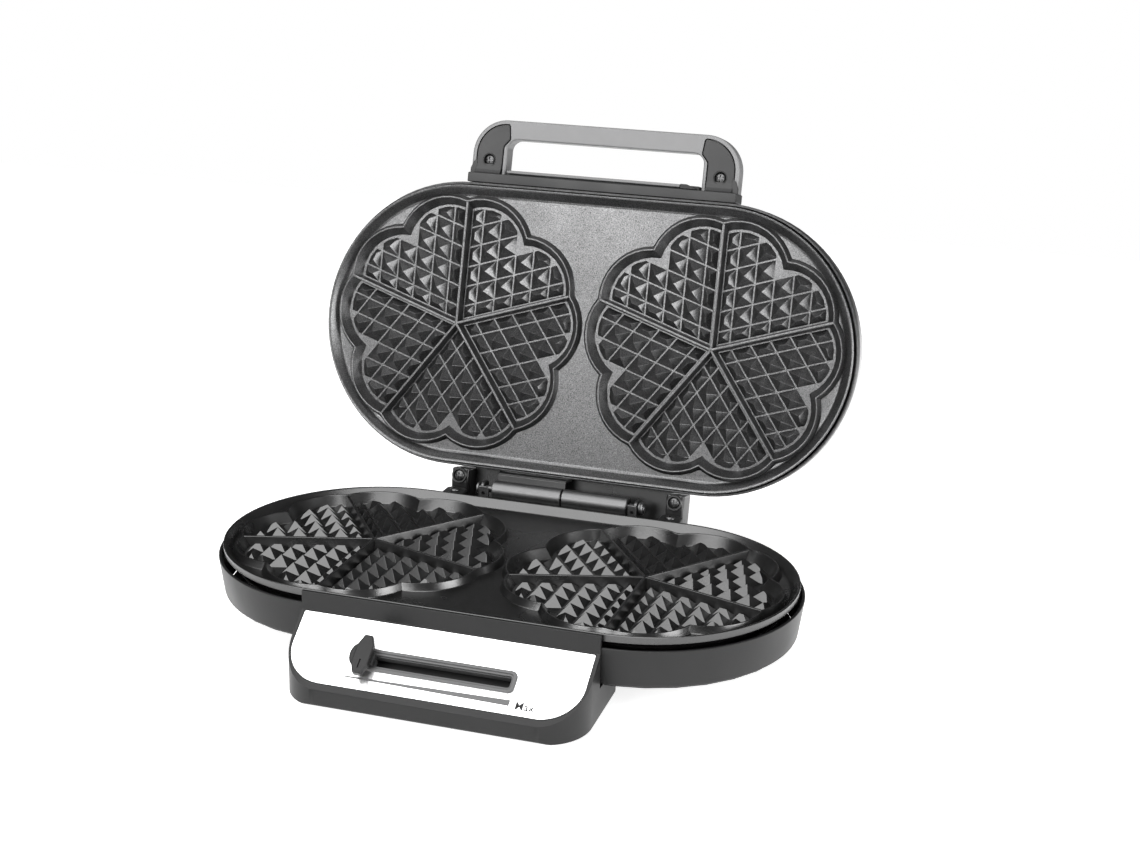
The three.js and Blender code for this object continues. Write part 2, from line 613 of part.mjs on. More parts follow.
/** Leaf on the base: floor plate, web, right-hand knuckle and an ear at each end. */
function lowerHingeLeaf() {
  const back = HINGE.y + HINGE.knuckleRadius;
  const floor = block([-56.5, 52.5], [98, back], [REAR.blockTop + GAP, REAR.blockTop + 1.8]);
  const web = block([0.5, 45.5], [back - 1.5, back], [REAR.blockTop + 0.5, HINGE.z]);
  const ears = [[-56.5, -54.7], [50.7, 52.5]].map((across) =>
    block(across, [103, back], [REAR.blockTop + 0.5, HINGE.z + 5]));
  const plate = withPinHole(union(floor, web, ...ears)).add(knuckle(0.5, 45.5));
  return cut(plate, ...LEAF_SCREWS.map((x) => cylinder(1.6, -12, -6, 8).translate(x, 104, 0)));
}

/** Leaf on the lid, drawn closed: upright plate, roof and left-hand knuckle. */
function upperHingeLeaf() {
  const top = HINGE.z + HINGE.knuckleRadius;
  const roof = block([-48.6, -0.5], [97.4, HINGE.y], [top - 1.5, top]);
  const upright = block([-48.6, -0.5], [96.6, 98.1], [top - 1.5, 20]);
  const plate = union(roof, upright).add(knuckle(-48.6, -0.5));
  const hole = cylinder(1.6, 90, 100, 8).applyMatrix4(TIP_UP_TO_BACK);
  return cut(plate, ...UPPER_LEAF_SCREWS.map((x) => hole.clone().translate(x, 0, 14)));
}

function hingePin() {
  const { y, z, pinRadius } = HINGE;
  return union(rodAlongX(pinRadius, -59, 57, y, z, 16), rodAlongX(3.8, -60.5, -58.6, y, z, 16));
}

/** Coiled ring pressed on the pin's free end. */
function pinRetainer() {
  const ring = solid(rodAlongX(4.3, 53, 56.2, HINGE.y, HINGE.z, 16));
  return cut(ring, rodAlongX(HINGE.pinRadius + 0.1, 52, 58, HINGE.y, HINGE.z, 16));
}

/** Moulding behind the hinge, drawn closed: two cheeks with screw bosses and a roof between. */
function lidHingeCover() {
  const cheek = [[97, 5.2], [107, 5.2], [131, 11], [131, 20], [127, 24], [97, 24]];
  const shapes = [block([-81.5, 81.5], [97, 128], [21.6, 24])];
  for (const side of [-1, 1]) {
    const across = [side * 69.5, side * 81.5].sort((a, b) => a - b);
    shapes.push(extrudeAlongX(cheek, ...across));
    shapes.push(cylinder(4.9, 3.2, 15, 20).translate(side * BOSS.x, BOSS.y, 0));
  }
  const holes = [-BOSS.x, BOSS.x].map((x) =>
    turned([[0, 2], [3.3, 2], [3.3, 5], [1.6, 5], [1.6, 16], [0, 16]], 16).translate(x, BOSS.y, 0));
  return cut(union(...shapes), ...holes);
}

const bossScrewPlaces = () =>
  [-BOSS.x, BOSS.x].map((x) => at(x, BOSS.y, 4.7).multiply(UPSIDE_DOWN));

// ---------------------------------------------------------------- lid
function lidFrame() {
  const { radius, frameLow, frameTop } = LID;
  const ring = solid(stadium([[94.3, frameLow], [radius - 0.6, frameLow], [radius, frameLow + 0.9],
    [radius, frameTop], [90, frameTop], [90, frameTop - 2], [93.4, frameTop - 3], [94.3, frameLow]]));
  const hole = cylinder(1.5, 88, 98, 8).applyMatrix4(TIP_UP_TO_BACK);
  return cut(ring, ...UPPER_LEAF_SCREWS.map((x) => hole.clone().translate(x, 0, 14)));
}

function lidCover() {
  const { radius, frameTop, domeTop } = LID;
  const low = frameTop + GAP;
  const skin = 1.2;
  return stadium([[0, domeTop - skin], [76, domeTop - 0.5 - skin], [84.4, domeTop - 1.6 - skin],
    [91.6, domeTop - 8], [radius - skin, 26], [radius - skin, low],
    [radius, low], [radius, 26], [94.6, domeTop - 10], [91, domeTop - 4.8],
    [85, domeTop - 1.6], [76, domeTop - 0.5], [0, domeTop]]);
}

/** Outline of one handle horn: a curved tongue let into the grip's underside. */
function hornOutline(side, margin) {
  const outer = HANDLE.halfWidth - 3.4 + margin;
  const inner = 71.5 - margin;
  const tip = HANDLE.front + 3.2;
  const corner = HANDLE.corner - 3.4 + margin;
  const horn = new THREE.Shape();
  horn.moveTo(side * outer, -102.8);
  horn.lineTo(side * outer, tip - margin + corner);
  const from = side > 0 ? 0 : Math.PI;
  horn.absarc(side * (outer - corner), tip - margin + corner, corner, from, 1.5 * Math.PI, side > 0);
  horn.lineTo(side * (68.4 - margin), tip - margin);
  horn.lineTo(side * (67 - margin), tip + 9.6 + margin);
  horn.lineTo(side * inner, tip + 14 + margin);
  horn.lineTo(side * inner, -102.8);
  horn.closePath();
  return horn;
}

/** U-shaped grip, drawn closed, with a recess in each arm for the yoke's horns. */
function lidHandleGrip() {
  const { halfWidth, front, corner, bar, low, high } = HANDLE;
  const plan = handlePlan(halfWidth, front, -103.2, corner);
  const gap = handlePlan(68.5, front + bar, -90, 7);
  const body = solid(extrude(plan, low, high, 8)).subtract(solid(extrude(gap, low - 1, high + 1, 4)));
  const recesses = [-1, 1].map((side) => extrude(hornOutline(side, 0.3), low - 1, low + 4.6, 6));
  const holes = HANDLE_SCREWS.map(([x, y]) => cylinder(1.5, low, low + 11, 8).translate(x, y, 0));
  return cut(body, ...recesses, ...holes);
}

/** Black yoke that ties the grip to the lid: cross strip, ledge and two horns. */
function lidHandleYoke() {
  const strip = extrudeAlongX([[-96.5, 13], [-96.5, 31.5], [-102.9, 31.5], [-102.9, 13]], -93.5, 93.5);
  const ledge = block([-67.5, 67.5], [-105.6, -102], [17, 31.5]);
  const horns = [-1, 1].map((side) => extrude(hornOutline(side, 0), HANDLE.low - 0.4, HANDLE.low + 4.3, 6));
  const bores = HANDLE_SCREWS.map(([x, y]) => turned([[0, 15], [3.5, 15], [3.5, 20.2], [1.6, 20.2],
    [1.6, 24], [0, 24]], 16).translate(x, y, 0));
  return cut(union(strip, ledge, ...horns), ...bores);
}

const handleScrewPlaces = () =>
  HANDLE_SCREWS.map(([x, y]) => at(x, y, 19.9).multiply(UPSIDE_DOWN));

/** Bright strip along the finger side of the yoke. */
const trimStrip = () => block([-66, 55], [-105.9, -104], [13.4, 16.7]);

/** Small clip that ends the bright strip. */
function trimClip() {
  const profile = [[55.3, -106.2], [59.5, -106.2], [66, -103.8], [66, -103.2], [55.3, -103.2]];
  return extrude(outline(profile), 13, 16.7);
}

// ---------------------------------------------------------------- assembly
function basePieces() {
  const feet = [["front_left_foot", FRONT_FEET[0], -51.2], ["front_right_foot", FRONT_FEET[1], -51.2],
    ["rear_left_foot", REAR_FEET[0], -50.6], ["rear_right_foot", REAR_FEET[1], -50.6]];
  return [
    part("base_housing", baseHousing(), MATERIAL.blackPlastic),
    part("rear_hinge_block", hingeBlock(), MATERIAL.blackPlastic),
    part("rear_left_leg", rearLeg(-1), MATERIAL.blackPlastic),
    part("rear_right_leg", rearLeg(1), MATERIAL.blackPlastic),
    part("bottom_cover", bottomCover(), MATERIAL.blackPlastic),
    ...screws("bottom_cover_screw", screw(3, 1.5, 7), coverScrewPlaces()),
    part("cable_gland", cableGland(), MATERIAL.rubber),
    part("control_housing", controlHousing(), MATERIAL.blackPlastic),
    part("control_housing_cover", controlCover(), MATERIAL.blackPlastic),
    part("control_panel", controlPanel(), MATERIAL.polishedSteel),
    part("slot_frame", slotFrame(), MATERIAL.darkPlastic),
    part("slider_guide", sliderGuide(), MATERIAL.blackPlastic),
    part("thermostat_body", thermostatBody(), MATERIAL.ceramic),
    part("thermostat_bulb", sensorBulb(), MATERIAL.zinc),
    part("thermal_fuse", rodAlongX(2.6, -31, -16, -30, -25.4, 12), MATERIAL.zinc),
    part("terminal_block", terminalBlock(), MATERIAL.ceramic),
    part("lower_plate", LOWER_PLATE, MATERIAL.nonStick),
    part("lower_heating_element", heaterElement(), MATERIAL.heater),
    part("lower_reflector", reflectorTray(), MATERIAL.aluminium),
    ...screws("lower_reflector_screw", screw(3, 1.4, 12.5), trayScrewPlaces()),
    part("lower_hinge_leaf", lowerHingeLeaf(), MATERIAL.zinc),
    ...screws("lower_leaf_screw", screw(3, 1.2, 8), LEAF_SCREWS.map((x) => at(x, 104, -6.9))),
    part("hinge_pin", hingePin(), MATERIAL.brushedSteel),
    part("hinge_pin_retainer", pinRetainer(), MATERIAL.zinc),
    ...screws("ear_screw", screw(3.3, 1.4, 10), EAR_SCREWS.map(([x, y]) => at(x, y, -1))),
    ...feet.map(([name, [x, y], top]) => part(name, footPad(x, y, top), MATERIAL.rubber)),
  ];
}

function terminalBlock() {
  const body = solid(block([80, 106], [36, 48], [-31, -22.5]));
  const ports = [86, 93, 100].map((x) => cylinder(1.8, -30, -26, 8).translate(x, 42, 4.5));
  return cut(body, ...ports);
}

function lidPieces() {
  const backward = (x) => at(x, 98.4, 14).multiply(TIP_UP_TO_BACK);
  const trayScrewsUp = PLATE_STUDS.map(([x, y]) => at(x, y, CLOSED_GAP + 20.8));
  const lift = (shape) => flippedToLid(shape.isBufferGeometry ? shape : geometryOf(shape));
  return [
    part("upper_plate", flippedToLid(geometryOf(LOWER_PLATE)), MATERIAL.nonStick),
    part("upper_heating_element", lift(heaterElement()), MATERIAL.heater),
    part("upper_reflector", lift(reflectorTray()), MATERIAL.aluminium),
    ...screws("upper_reflector_screw", screw(3, 1.4, 12.5), trayScrewsUp),
    part("lid_frame", lidFrame(), MATERIAL.nonStick),
    part("lid_cover", lidCover(), MATERIAL.brushedSteel),
    part("lid_hinge_cover", lidHingeCover(), MATERIAL.blackPlastic),
    ...screws("lid_hinge_cover_screw", screw(3, 1.4, 9), bossScrewPlaces()),
    part("upper_hinge_leaf", upperHingeLeaf(), MATERIAL.zinc),
    ...screws("upper_leaf_screw", screw(2.8, 1.2, 7), UPPER_LEAF_SCREWS.map(backward)),
    part("lid_handle_grip", lidHandleGrip(), MATERIAL.silver),
    part("lid_handle_yoke", lidHandleYoke(), MATERIAL.blackPlastic),
    ...screws("lid_handle_screw", screw(3.1, 1.3, 8), handleScrewPlaces()),
    part("lid_trim_strip", trimStrip(), MATERIAL.brushedSteel),
    part("lid_trim_clip", trimClip(), MATERIAL.darkPlastic),
  ];
}

function sliderPieces() {
  return [
    part("slider_knob", sliderKnob(), MATERIAL.darkPlastic),
    part("slider_carriage", sliderCarriage(), MATERIAL.blackPlastic),
    part("thermostat_push_rod", thermostatPlunger(), MATERIAL.brushedSteel),
  ];
}

const LOWER_PLATE = wafflePlate();

const lidClosed = new THREE.Group();
lidClosed.position.set(0, -HINGE.y, -HINGE.z);
lidClosed.add(...lidPieces());

const lid = new THREE.Group();
lid.position.set(0, HINGE.y, HINGE.z);
lid.rotation.x = rad(-OPEN_ANGLE);
lid.add(lidClosed);

const assembly = new THREE.Group();
assembly.add(...basePieces(), ...sliderPieces(), lid);
assembly.updateMatrixWorld(true);
const footprint = new THREE.Box3().setFromObject(assembly, true);
assembly.position.set(0, -(footprint.min.y + footprint.max.y) / 2, -STANDING_Z);

const waffleMaker = new THREE.Group();
waffleMaker.add(assembly);

export default waffleMaker;
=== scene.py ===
"""Looks of the double heart-waffle maker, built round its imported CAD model.

Shapes are drawn in millimetres in the parting frame: x along the hinge, y from the control panel to the
hinge, z = 0 at the top of the lower waffle rims. Lid pieces are drawn closed, and LID swings them open.
"""
import json
import math
from itertools import combinations

import bmesh
import bpy
from mathutils import Matrix, Vector
from mathutils.geometry import tessellate_polygon


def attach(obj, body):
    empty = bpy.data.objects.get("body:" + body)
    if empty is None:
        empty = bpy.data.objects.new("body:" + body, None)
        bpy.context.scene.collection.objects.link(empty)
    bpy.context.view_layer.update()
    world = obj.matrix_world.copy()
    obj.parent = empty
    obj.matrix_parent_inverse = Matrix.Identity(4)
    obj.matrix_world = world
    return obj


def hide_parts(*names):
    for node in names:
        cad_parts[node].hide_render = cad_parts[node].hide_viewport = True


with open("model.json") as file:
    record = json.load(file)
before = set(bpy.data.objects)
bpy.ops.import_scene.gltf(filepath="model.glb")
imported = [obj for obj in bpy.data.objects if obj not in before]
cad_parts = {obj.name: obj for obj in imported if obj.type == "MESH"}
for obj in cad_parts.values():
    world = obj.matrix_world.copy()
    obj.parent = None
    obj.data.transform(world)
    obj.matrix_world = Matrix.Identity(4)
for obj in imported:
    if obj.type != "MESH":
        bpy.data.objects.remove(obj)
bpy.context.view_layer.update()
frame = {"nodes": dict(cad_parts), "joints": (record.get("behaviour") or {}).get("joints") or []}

# ------------------------------------------------------------------ driving dimensions, in millimetres
MM = 0.001
HALF_SPAN = 89.0                 # middle of the appliance to the centre of each waffle
HINGE_Y, HINGE_Z = 108.4, 1.3
KNUCKLE = 6.3
CLOSED_GAP = 5.0
STANDING_Z = -52.0
LAND_Z, FLOOR_Z, UNDER_Z, SKIRT_Z, RIM_Z = -4.5, -7.0, -10.5, -3.8, 0.9
LOBE_REACH, LOBE_BEARING, LOBE_RADIUS = 51.4, 13.4, 35.1
DIVIDER_LENGTH, DIVIDER_FRONT, DIVIDER_STEP = 82.0, -90.0, 72.0
GRID_FIRST, GRID_PITCH, GRID_CHANNEL, GRID_SLOPE, GRID_COUNT, GRID_BORDER = 11.15, 13.3, 0.6, 1.09, 7, 6.5
PANEL_Y, PANEL_Z, PANEL_SLOPE, PANEL_HALF, PANEL_LENGTH, PANEL_CORNER = -98.0, -9.7, 37.3, 89.7, 45.5, 24.0
SLOT_MIDDLE, SLOT_HALF_LENGTH, SLOT_HALF_WIDTH = 26.0, 47.0, 4.4
SLIDER_X = -43.0
GRIP_HALF, GRIP_FRONT, GRIP_CORNER, GRIP_BAR, GRIP_LOW, GRIP_HIGH = 93.0, -139.8, 23.5, 12.8, 18.0, 31.5
BOSS_X, BOSS_Y = 75.5, 102.1
EAR_Y = 104.4
HANDLE_SCREW_X, HANDLE_SCREW_Y = 80.6, -112.2
BASE_TUBE, LID_TUBE = (0.5, 45.5), (-48.6, -0.5)         # spans of x
HINGE_BLOCK_HALF, REAR_LEG = 62.0, (68.0, 83.0)
CHEEK = (69.5, 81.5)
COVER_LOW, COVER_HIGH = 21.6, 24.0
MAXIMUM_X = 49.1                                         # hot end of the printed scale
SCALE_LINE = -38.6
PRINT_HEIGHT = 0.22
LEAF_SCREW_Y, LEAF_SCREW_XS, LID_LEAF_SCREW_XS = 104.0, (-44, -16, 16, 44), (-40, -9)
GLAND_PLACE = (96.0, 91.9, -18.5)


def joint(name):
    return next(j for j in frame["joints"] if j["name"] == name)


HINGE_POINT = Vector(joint("lid_hinge")["pos_m"])
OPEN_ANGLE = math.radians(joint("lid_hinge")["range_deg"][1])
PARTING = HINGE_POINT - Vector((0, HINGE_Y, HINGE_Z)) * MM


def at(x, y, z):
    return Matrix.Translation((x, y, z))


def turn(degrees, axis):
    return Matrix.Rotation(math.radians(degrees), 4, axis)


BASE = Matrix.Translation(PARTING) @ Matrix.Scale(MM, 4)
LID = (Matrix.Translation(HINGE_POINT) @ Matrix.Rotation(-OPEN_ANGLE, 4, "X") @ Matrix.Scale(MM, 4)
       @ at(0, -HINGE_Y, -HINGE_Z))
PANEL = BASE @ at(0, PANEL_Y, PANEL_Z) @ turn(PANEL_SLOPE, "X")
FLIP = at(0, 0, CLOSED_GAP) @ Matrix.Diagonal((1, 1, -1, 1))      # lower plate to upper plate
TO_BACK = turn(-90, "X")                                          # +z to +y
UPSIDE_DOWN = turn(180, "X")

# ------------------------------------------------------------------ outlines and shells
# An outline is a list of (x, y), anticlockwise. A shell is (vertices, faces) of one closed surface.


def arc(cx, cy, radius, start, end, steps):
    angles = [math.radians(start + (end - start) * k / steps) for k in range(steps + 1)]
    return [(cx + radius * math.cos(a), cy + radius * math.sin(a)) for a in angles]


def filleted(corners, steps=6):
    """A polygon of (x, y, radius) corners as points, each corner with a radius made an arc."""
    points = []
    for k, (x, y, radius) in enumerate(corners):
        p = Vector((x, y))
        if radius <= 0:
            points.append((x, y))
            continue
        back = (Vector(corners[k - 1][:2]) - p).normalized()
        ahead = (Vector(corners[(k + 1) % len(corners)][:2]) - p).normalized()
        half = back.angle(ahead) / 2
        centre = p + (back + ahead).normalized() * (radius / math.sin(half))
        first, last = p + back * (radius / math.tan(half)), p + ahead * (radius / math.tan(half))
        a0 = math.atan2(first.y - centre.y, first.x - centre.x)
        sweep = math.atan2(last.y - centre.y, last.x - centre.x) - a0
        sweep = (sweep + math.pi) % (2 * math.pi) - math.pi
        for s in range(steps + 1):
            a = a0 + sweep * s / steps
            points.append((centre.x + radius * math.cos(a), centre.y + radius * math.sin(a)))
    return points


def offset(points, distance):
    """A closed outline moved outwards."""
    moved_points = []
    for k, point in enumerate(points):
        before, here, after = Vector(points[k - 1]), Vector(point), Vector(points[(k + 1) % len(points)])
        e0, e1 = (here - before).normalized(), (after - here).normalized()
        n0, n1 = Vector((e0.y, -e0.x)), Vector((e1.y, -e1.x))
        q = here + (n0 + n1) * (distance / max(0.25, 1 + n0.dot(n1)))
        moved_points.append((q.x, q.y))
    return moved_points


def rounded_levels(z0, z1, low, high, steps=3):
    """Levels of (inset, z) up a wall whose two edges are rounded by low and high."""
    levels = []
    for k in range(steps + 1 if low else 1):
        a = math.pi / 2 * (k / steps if low else 1)
        levels.append((low * (1 - math.sin(a)), z0 + low * (1 - math.cos(a))))
    for k in range(steps + 1 if high else 1):
        a = math.pi / 2 * (k / steps if high else 0)
        levels.append((high * (1 - math.cos(a)), z1 - high * (1 - math.sin(a))))
    return levels


def prism(points, z0, z1, low=0.0, high=None, holes=(), steps=3):
    """An outline drawn up along z, its edges rounded, with through holes."""
    levels = rounded_levels(z0, z1, low, low if high is None else high, steps)
    vertices, faces, rims = [], [], []
    for outline, sign in [(points, -1)] + [(hole, 1) for hole in holes]:
        start, n = len(vertices), len(outline)
        for inset, z in levels:
            vertices += [Vector((x, y, z)) for x, y in offset(outline, sign * inset)]
        for level in range(len(levels) - 1):
            for i in range(n):
                a, b = start + level * n + i, start + level * n + (i + 1) % n
                faces.append((a, b, b + n, a + n))
        rims.append((start, n))
    for level in (0, len(levels) - 1):
        loops = [[s + level * n + i for i in range(n)] for s, n in rims]
        if len(loops) == 1:
            faces.append(tuple(loops[0]))
            continue
        flat = [i for loop in loops for i in loop]
        for triangle in tessellate_polygon([[vertices[i] for i in loop] for loop in loops]):
            faces.append(tuple(flat[i] for i in triangle))
    return vertices, faces


def skin(loops, closed=False):
    """Quads between equal loops, capped at both ends, or joined end to end."""
    n = len(loops[0])
    vertices = [Vector(p) for loop in loops for p in loop]
    faces = []
    for k in range(len(loops) if closed else len(loops) - 1):
        a0, b0 = k * n, (k + 1) % len(loops) * n
        faces += [(a0 + i, a0 + (i + 1) % n, b0 + (i + 1) % n, b0 + i) for i in range(n)]
    if not closed:
        faces += [tuple(range(n)), tuple(range(len(vertices) - n, len(vertices)))]
    return vertices, faces


def stadium(profile, closed=False, steps=44):
    """A profile of (radius, z) turned round each end of the appliance and drawn along between them."""
    bearings = [(HALF_SPAN, -90 + 180 * k / steps) for k in range(steps + 1)]
    bearings += [(-HALF_SPAN, 90 + 180 * k / steps) for k in range(steps + 1)]
    turned = [(x, math.cos(math.radians(b)), math.sin(math.radians(b))) for x, b in bearings]
    return skin([[(x + r * c, r * s, z) for x, c, s in turned] for r, z in profile], closed)


def lathe(profile, steps=32, closed=False):
    """A profile of (radius, z) turned round z."""
    turned = [(math.cos(2 * math.pi * k / steps), math.sin(2 * math.pi * k / steps)) for k in range(steps)]
    return skin([[(max(r, 1e-3) * c, max(r, 1e-3) * s, z) for c, s in turned] for r, z in profile], closed)


def moved(shell, *matrices):
    matrix = Matrix.Identity(4)
    for m in matrices:
        matrix = matrix @ m
    return [matrix @ v for v in shell[0]], shell[1]


ALONG_X = Matrix(((0, 0, 1, 0), (1, 0, 0, 0), (0, 1, 0, 0), (0, 0, 0, 1)))


def along_x(points, x0, x1, low=0.0, high=None):
    """An outline in (y, z) drawn along x."""
    return moved(prism(points, x0, x1, low, high), ALONG_X)


def rod(profile, y, z):
    """A profile of (radius, x) turned round an axis along x through (y, z)."""
    return moved(lathe(profile), at(0, y, z), ALONG_X)


def slab(x, y, z, corner=1.0, edge=0.6, steps=4):
    """A block with rounded upright corners and rounded top and bottom edges."""
    plan = filleted([(x[0], y[0], corner), (x[1], y[0], corner), (x[1], y[1], corner), (x[0], y[1], corner)],
                    steps)
    return prism(plan, z[0], z[1], edge)


def shell_mesh(shells, name="made"):
    """One mesh of several shells, doubles merged and normals outwards in each."""
    made = bmesh.new()
    for vertices, faces in shells:
        part = bmesh.new()
        placed = [part.verts.new(v) for v in vertices]
        for face in faces:
            if len(set(face)) > 2 and not part.faces.get([placed[i] for i in face]):
                part.faces.new([placed[i] for i in face])
        in_millimetres = max(v.length for v in vertices) > 2
        bmesh.ops.remove_doubles(part, verts=part.verts, dist=1e-3 * (1 if in_millimetres else MM))
        bmesh.ops.dissolve_degenerate(part, edges=part.edges, dist=1e-7)
        bmesh.ops.recalc_face_normals(part, faces=part.faces)
        held = bpy.data.meshes.new("held")
        part.to_mesh(held)
        part.free()
        made.from_mesh(held)
        bpy.data.meshes.remove(held)
    mesh = bpy.data.meshes.new(name)
    made.to_mesh(mesh)
    made.free()
    return mesh


def as_shell(mesh):
    return [v.co.copy() for v in mesh.vertices], [tuple(p.vertices) for p in mesh.polygons]


def combined(shell, operation, *tools):
    """Exact boolean of a shell with others, one after another."""
    scene = bpy.context.scene
    body = bpy.data.objects.new("body", shell_mesh([shell]))
    scene.collection.objects.link(body)
    others = []
    for k, tool in enumerate(tools):
        other = bpy.data.objects.new(f"tool{k}", shell_mesh([tool]))
        scene.collection.objects.link(other)
        modifier = body.modifiers.new(f"op{k}", "BOOLEAN")
        modifier.operation, modifier.solver, modifier.object = operation, "EXACT", other
        others.append(other)
    graph = bpy.context.evaluated_depsgraph_get()
    result = as_shell(bpy.data.meshes.new_from_object(body.evaluated_get(graph)))
    for o in [body] + others:
        bpy.data.objects.remove(o)
    return result


def softened(shell, width, segments=2, angle=30):
    """The same shell with its sharp edges bevelled."""
    made = bmesh.new()
    made.from_mesh(shell_mesh([shell]))
    bmesh.ops.dissolve_limit(made, angle_limit=math.radians(0.5), verts=made.verts, edges=made.edges)
    sharp = [e for e in made.edges if len(e.link_faces) == 2 and e.calc_face_angle() > math.radians(angle)]
    bmesh.ops.bevel(made, geom=sharp, offset=width, offset_type="OFFSET", segments=segments, profile=0.5,
                    affect="EDGES", clamp_overlap=True)
    mesh = bpy.data.meshes.new("soft")
    made.to_mesh(mesh)
    made.free()
    return as_shell(mesh)


def piece(name, shells, place, material, body, nodes=(), angle=32):
    """A finished object: its shells placed, shaded, given its material and tied to its CAD body."""
    mesh = shell_mesh([moved(shell, place) for shell in shells], name)
    mesh.materials.append(MATERIALS[material])
    for polygon in mesh.polygons:
        polygon.use_smooth = True
    mesh.set_sharp_from_angle(angle=math.radians(angle))
    obj = bpy.data.objects.new(name, mesh)
    bpy.context.scene.collection.objects.link(obj)
    weighted = obj.modifiers.new("weighted", "WEIGHTED_NORMAL")
    weighted.keep_sharp = True
    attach(obj, body)
    if nodes:
        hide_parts(*nodes)
    return obj


# ------------------------------------------------------------------ materials


def node_material(name):
    material = bpy.data.materials.new(name)
    material.use_nodes = True
    nodes = material.node_tree.nodes
    return material, nodes, material.node_tree.links, nodes["Principled BSDF"]


def grain(nodes, links, scale, detail=4.0, stretch=None):
    """Noise over the object's own coordinates, in cycles per metre."""
    coordinates = nodes.new("ShaderNodeTexCoord")
    mapping = nodes.new("ShaderNodeMapping")
    if stretch:
        mapping.inputs["Scale"].default_value = stretch
    noise = nodes.new("ShaderNodeTexNoise")
    noise.inputs["Scale"].default_value = scale
    noise.inputs["Detail"].default_value = detail
    links.new(coordinates.outputs["Object"], mapping.inputs["Vector"])
    links.new(mapping.outputs["Vector"], noise.inputs["Vector"])
    return noise.outputs["Fac"]


def spread(nodes, links, source, low, high, start=0.35, end=0.65):
    """A value from low to high as the source goes from start to end."""
    remap = nodes.new("ShaderNodeMapRange")
    remap.inputs["From Min"].default_value = start
    remap.inputs["From Max"].default_value = end
    remap.inputs["To Min"].default_value = low
    remap.inputs["To Max"].default_value = high
    links.new(source, remap.inputs["Value"])
    return remap.outputs["Result"]


def tint(nodes, links, source, dark, light, start=0.35, end=0.65):
    """Two greys mixed by the source."""
    mix = nodes.new("ShaderNodeMix")
    mix.data_type = "RGBA"
    mix.inputs["A"].default_value = (*dark, 1)
    mix.inputs["B"].default_value = (*light, 1)
    links.new(spread(nodes, links, source, 0, 1, start, end), mix.inputs["Factor"])
    return mix.outputs["Result"]


def rough_bump(nodes, links, shader, source, strength, distance):
    bump = nodes.new("ShaderNodeBump")
    bump.inputs["Strength"].default_value = strength
    bump.inputs["Distance"].default_value = distance
    links.new(source, bump.inputs["Height"])
    links.new(bump.outputs["Normal"], shader.inputs["Normal"])


def moulded(name, value, roughness, bump=0.12, specular=0.5, coat=0.0):
    """Moulded plastic: a fine grain, and slow changes of gloss and tone as from handling."""
    material, nodes, links, shader = node_material(name)
    fine = grain(nodes, links, 1500, 3)
    slow = grain(nodes, links, 28, 3)
    links.new(tint(nodes, links, slow, [v * 0.86 for v in value], [v * 1.12 for v in value]),
              shader.inputs["Base Color"])
    links.new(spread(nodes, links, slow, roughness * 0.88, roughness * 1.12), shader.inputs["Roughness"])
    shader.inputs["Specular IOR Level"].default_value = specular
    shader.inputs["Coat Weight"].default_value = coat
    shader.inputs["Coat Roughness"].default_value = 0.2
    rough_bump(nodes, links, shader, fine, bump, 0.00006)
    return material


def coated(name, dark, light, roughness, metallic, specular=0.5, speckle=620):
    """Non-stick coating: speckled with flake, slightly pebbled."""
    material, nodes, links, shader = node_material(name)
    flake = grain(nodes, links, speckle, 8)
    links.new(tint(nodes, links, flake, dark, light, 0.3, 0.72), shader.inputs["Base Color"])
    links.new(spread(nodes, links, grain(nodes, links, 30, 2), roughness * 0.92, roughness * 1.08),
              shader.inputs["Roughness"])
    shader.inputs["Metallic"].default_value = metallic
    shader.inputs["Specular IOR Level"].default_value = specular
    rough_bump(nodes, links, shader, flake, 0.35, 0.00012)
    return material


def metal(name, value, roughness, streak=None, bump=0.15, scale=900):
    """Bare metal, brushed along the axis that streak stretches."""
    material, nodes, links, shader = node_material(name)
    lines = grain(nodes, links, scale, 5, streak)
    links.new(tint(nodes, links, lines, [v * 0.88 for v in value], [min(1, v * 1.08) for v in value]),
              shader.inputs["Base Color"])
    links.new(spread(nodes, links, lines, roughness * 0.85, roughness * 1.2), shader.inputs["Roughness"])
    shader.inputs["Metallic"].default_value = 1.0
    rough_bump(nodes, links, shader, lines, bump, 0.00004)
    return material


GREY = (1.0, 1.0, 1.01)


def grey(v):
    return tuple(v * c for c in GREY)


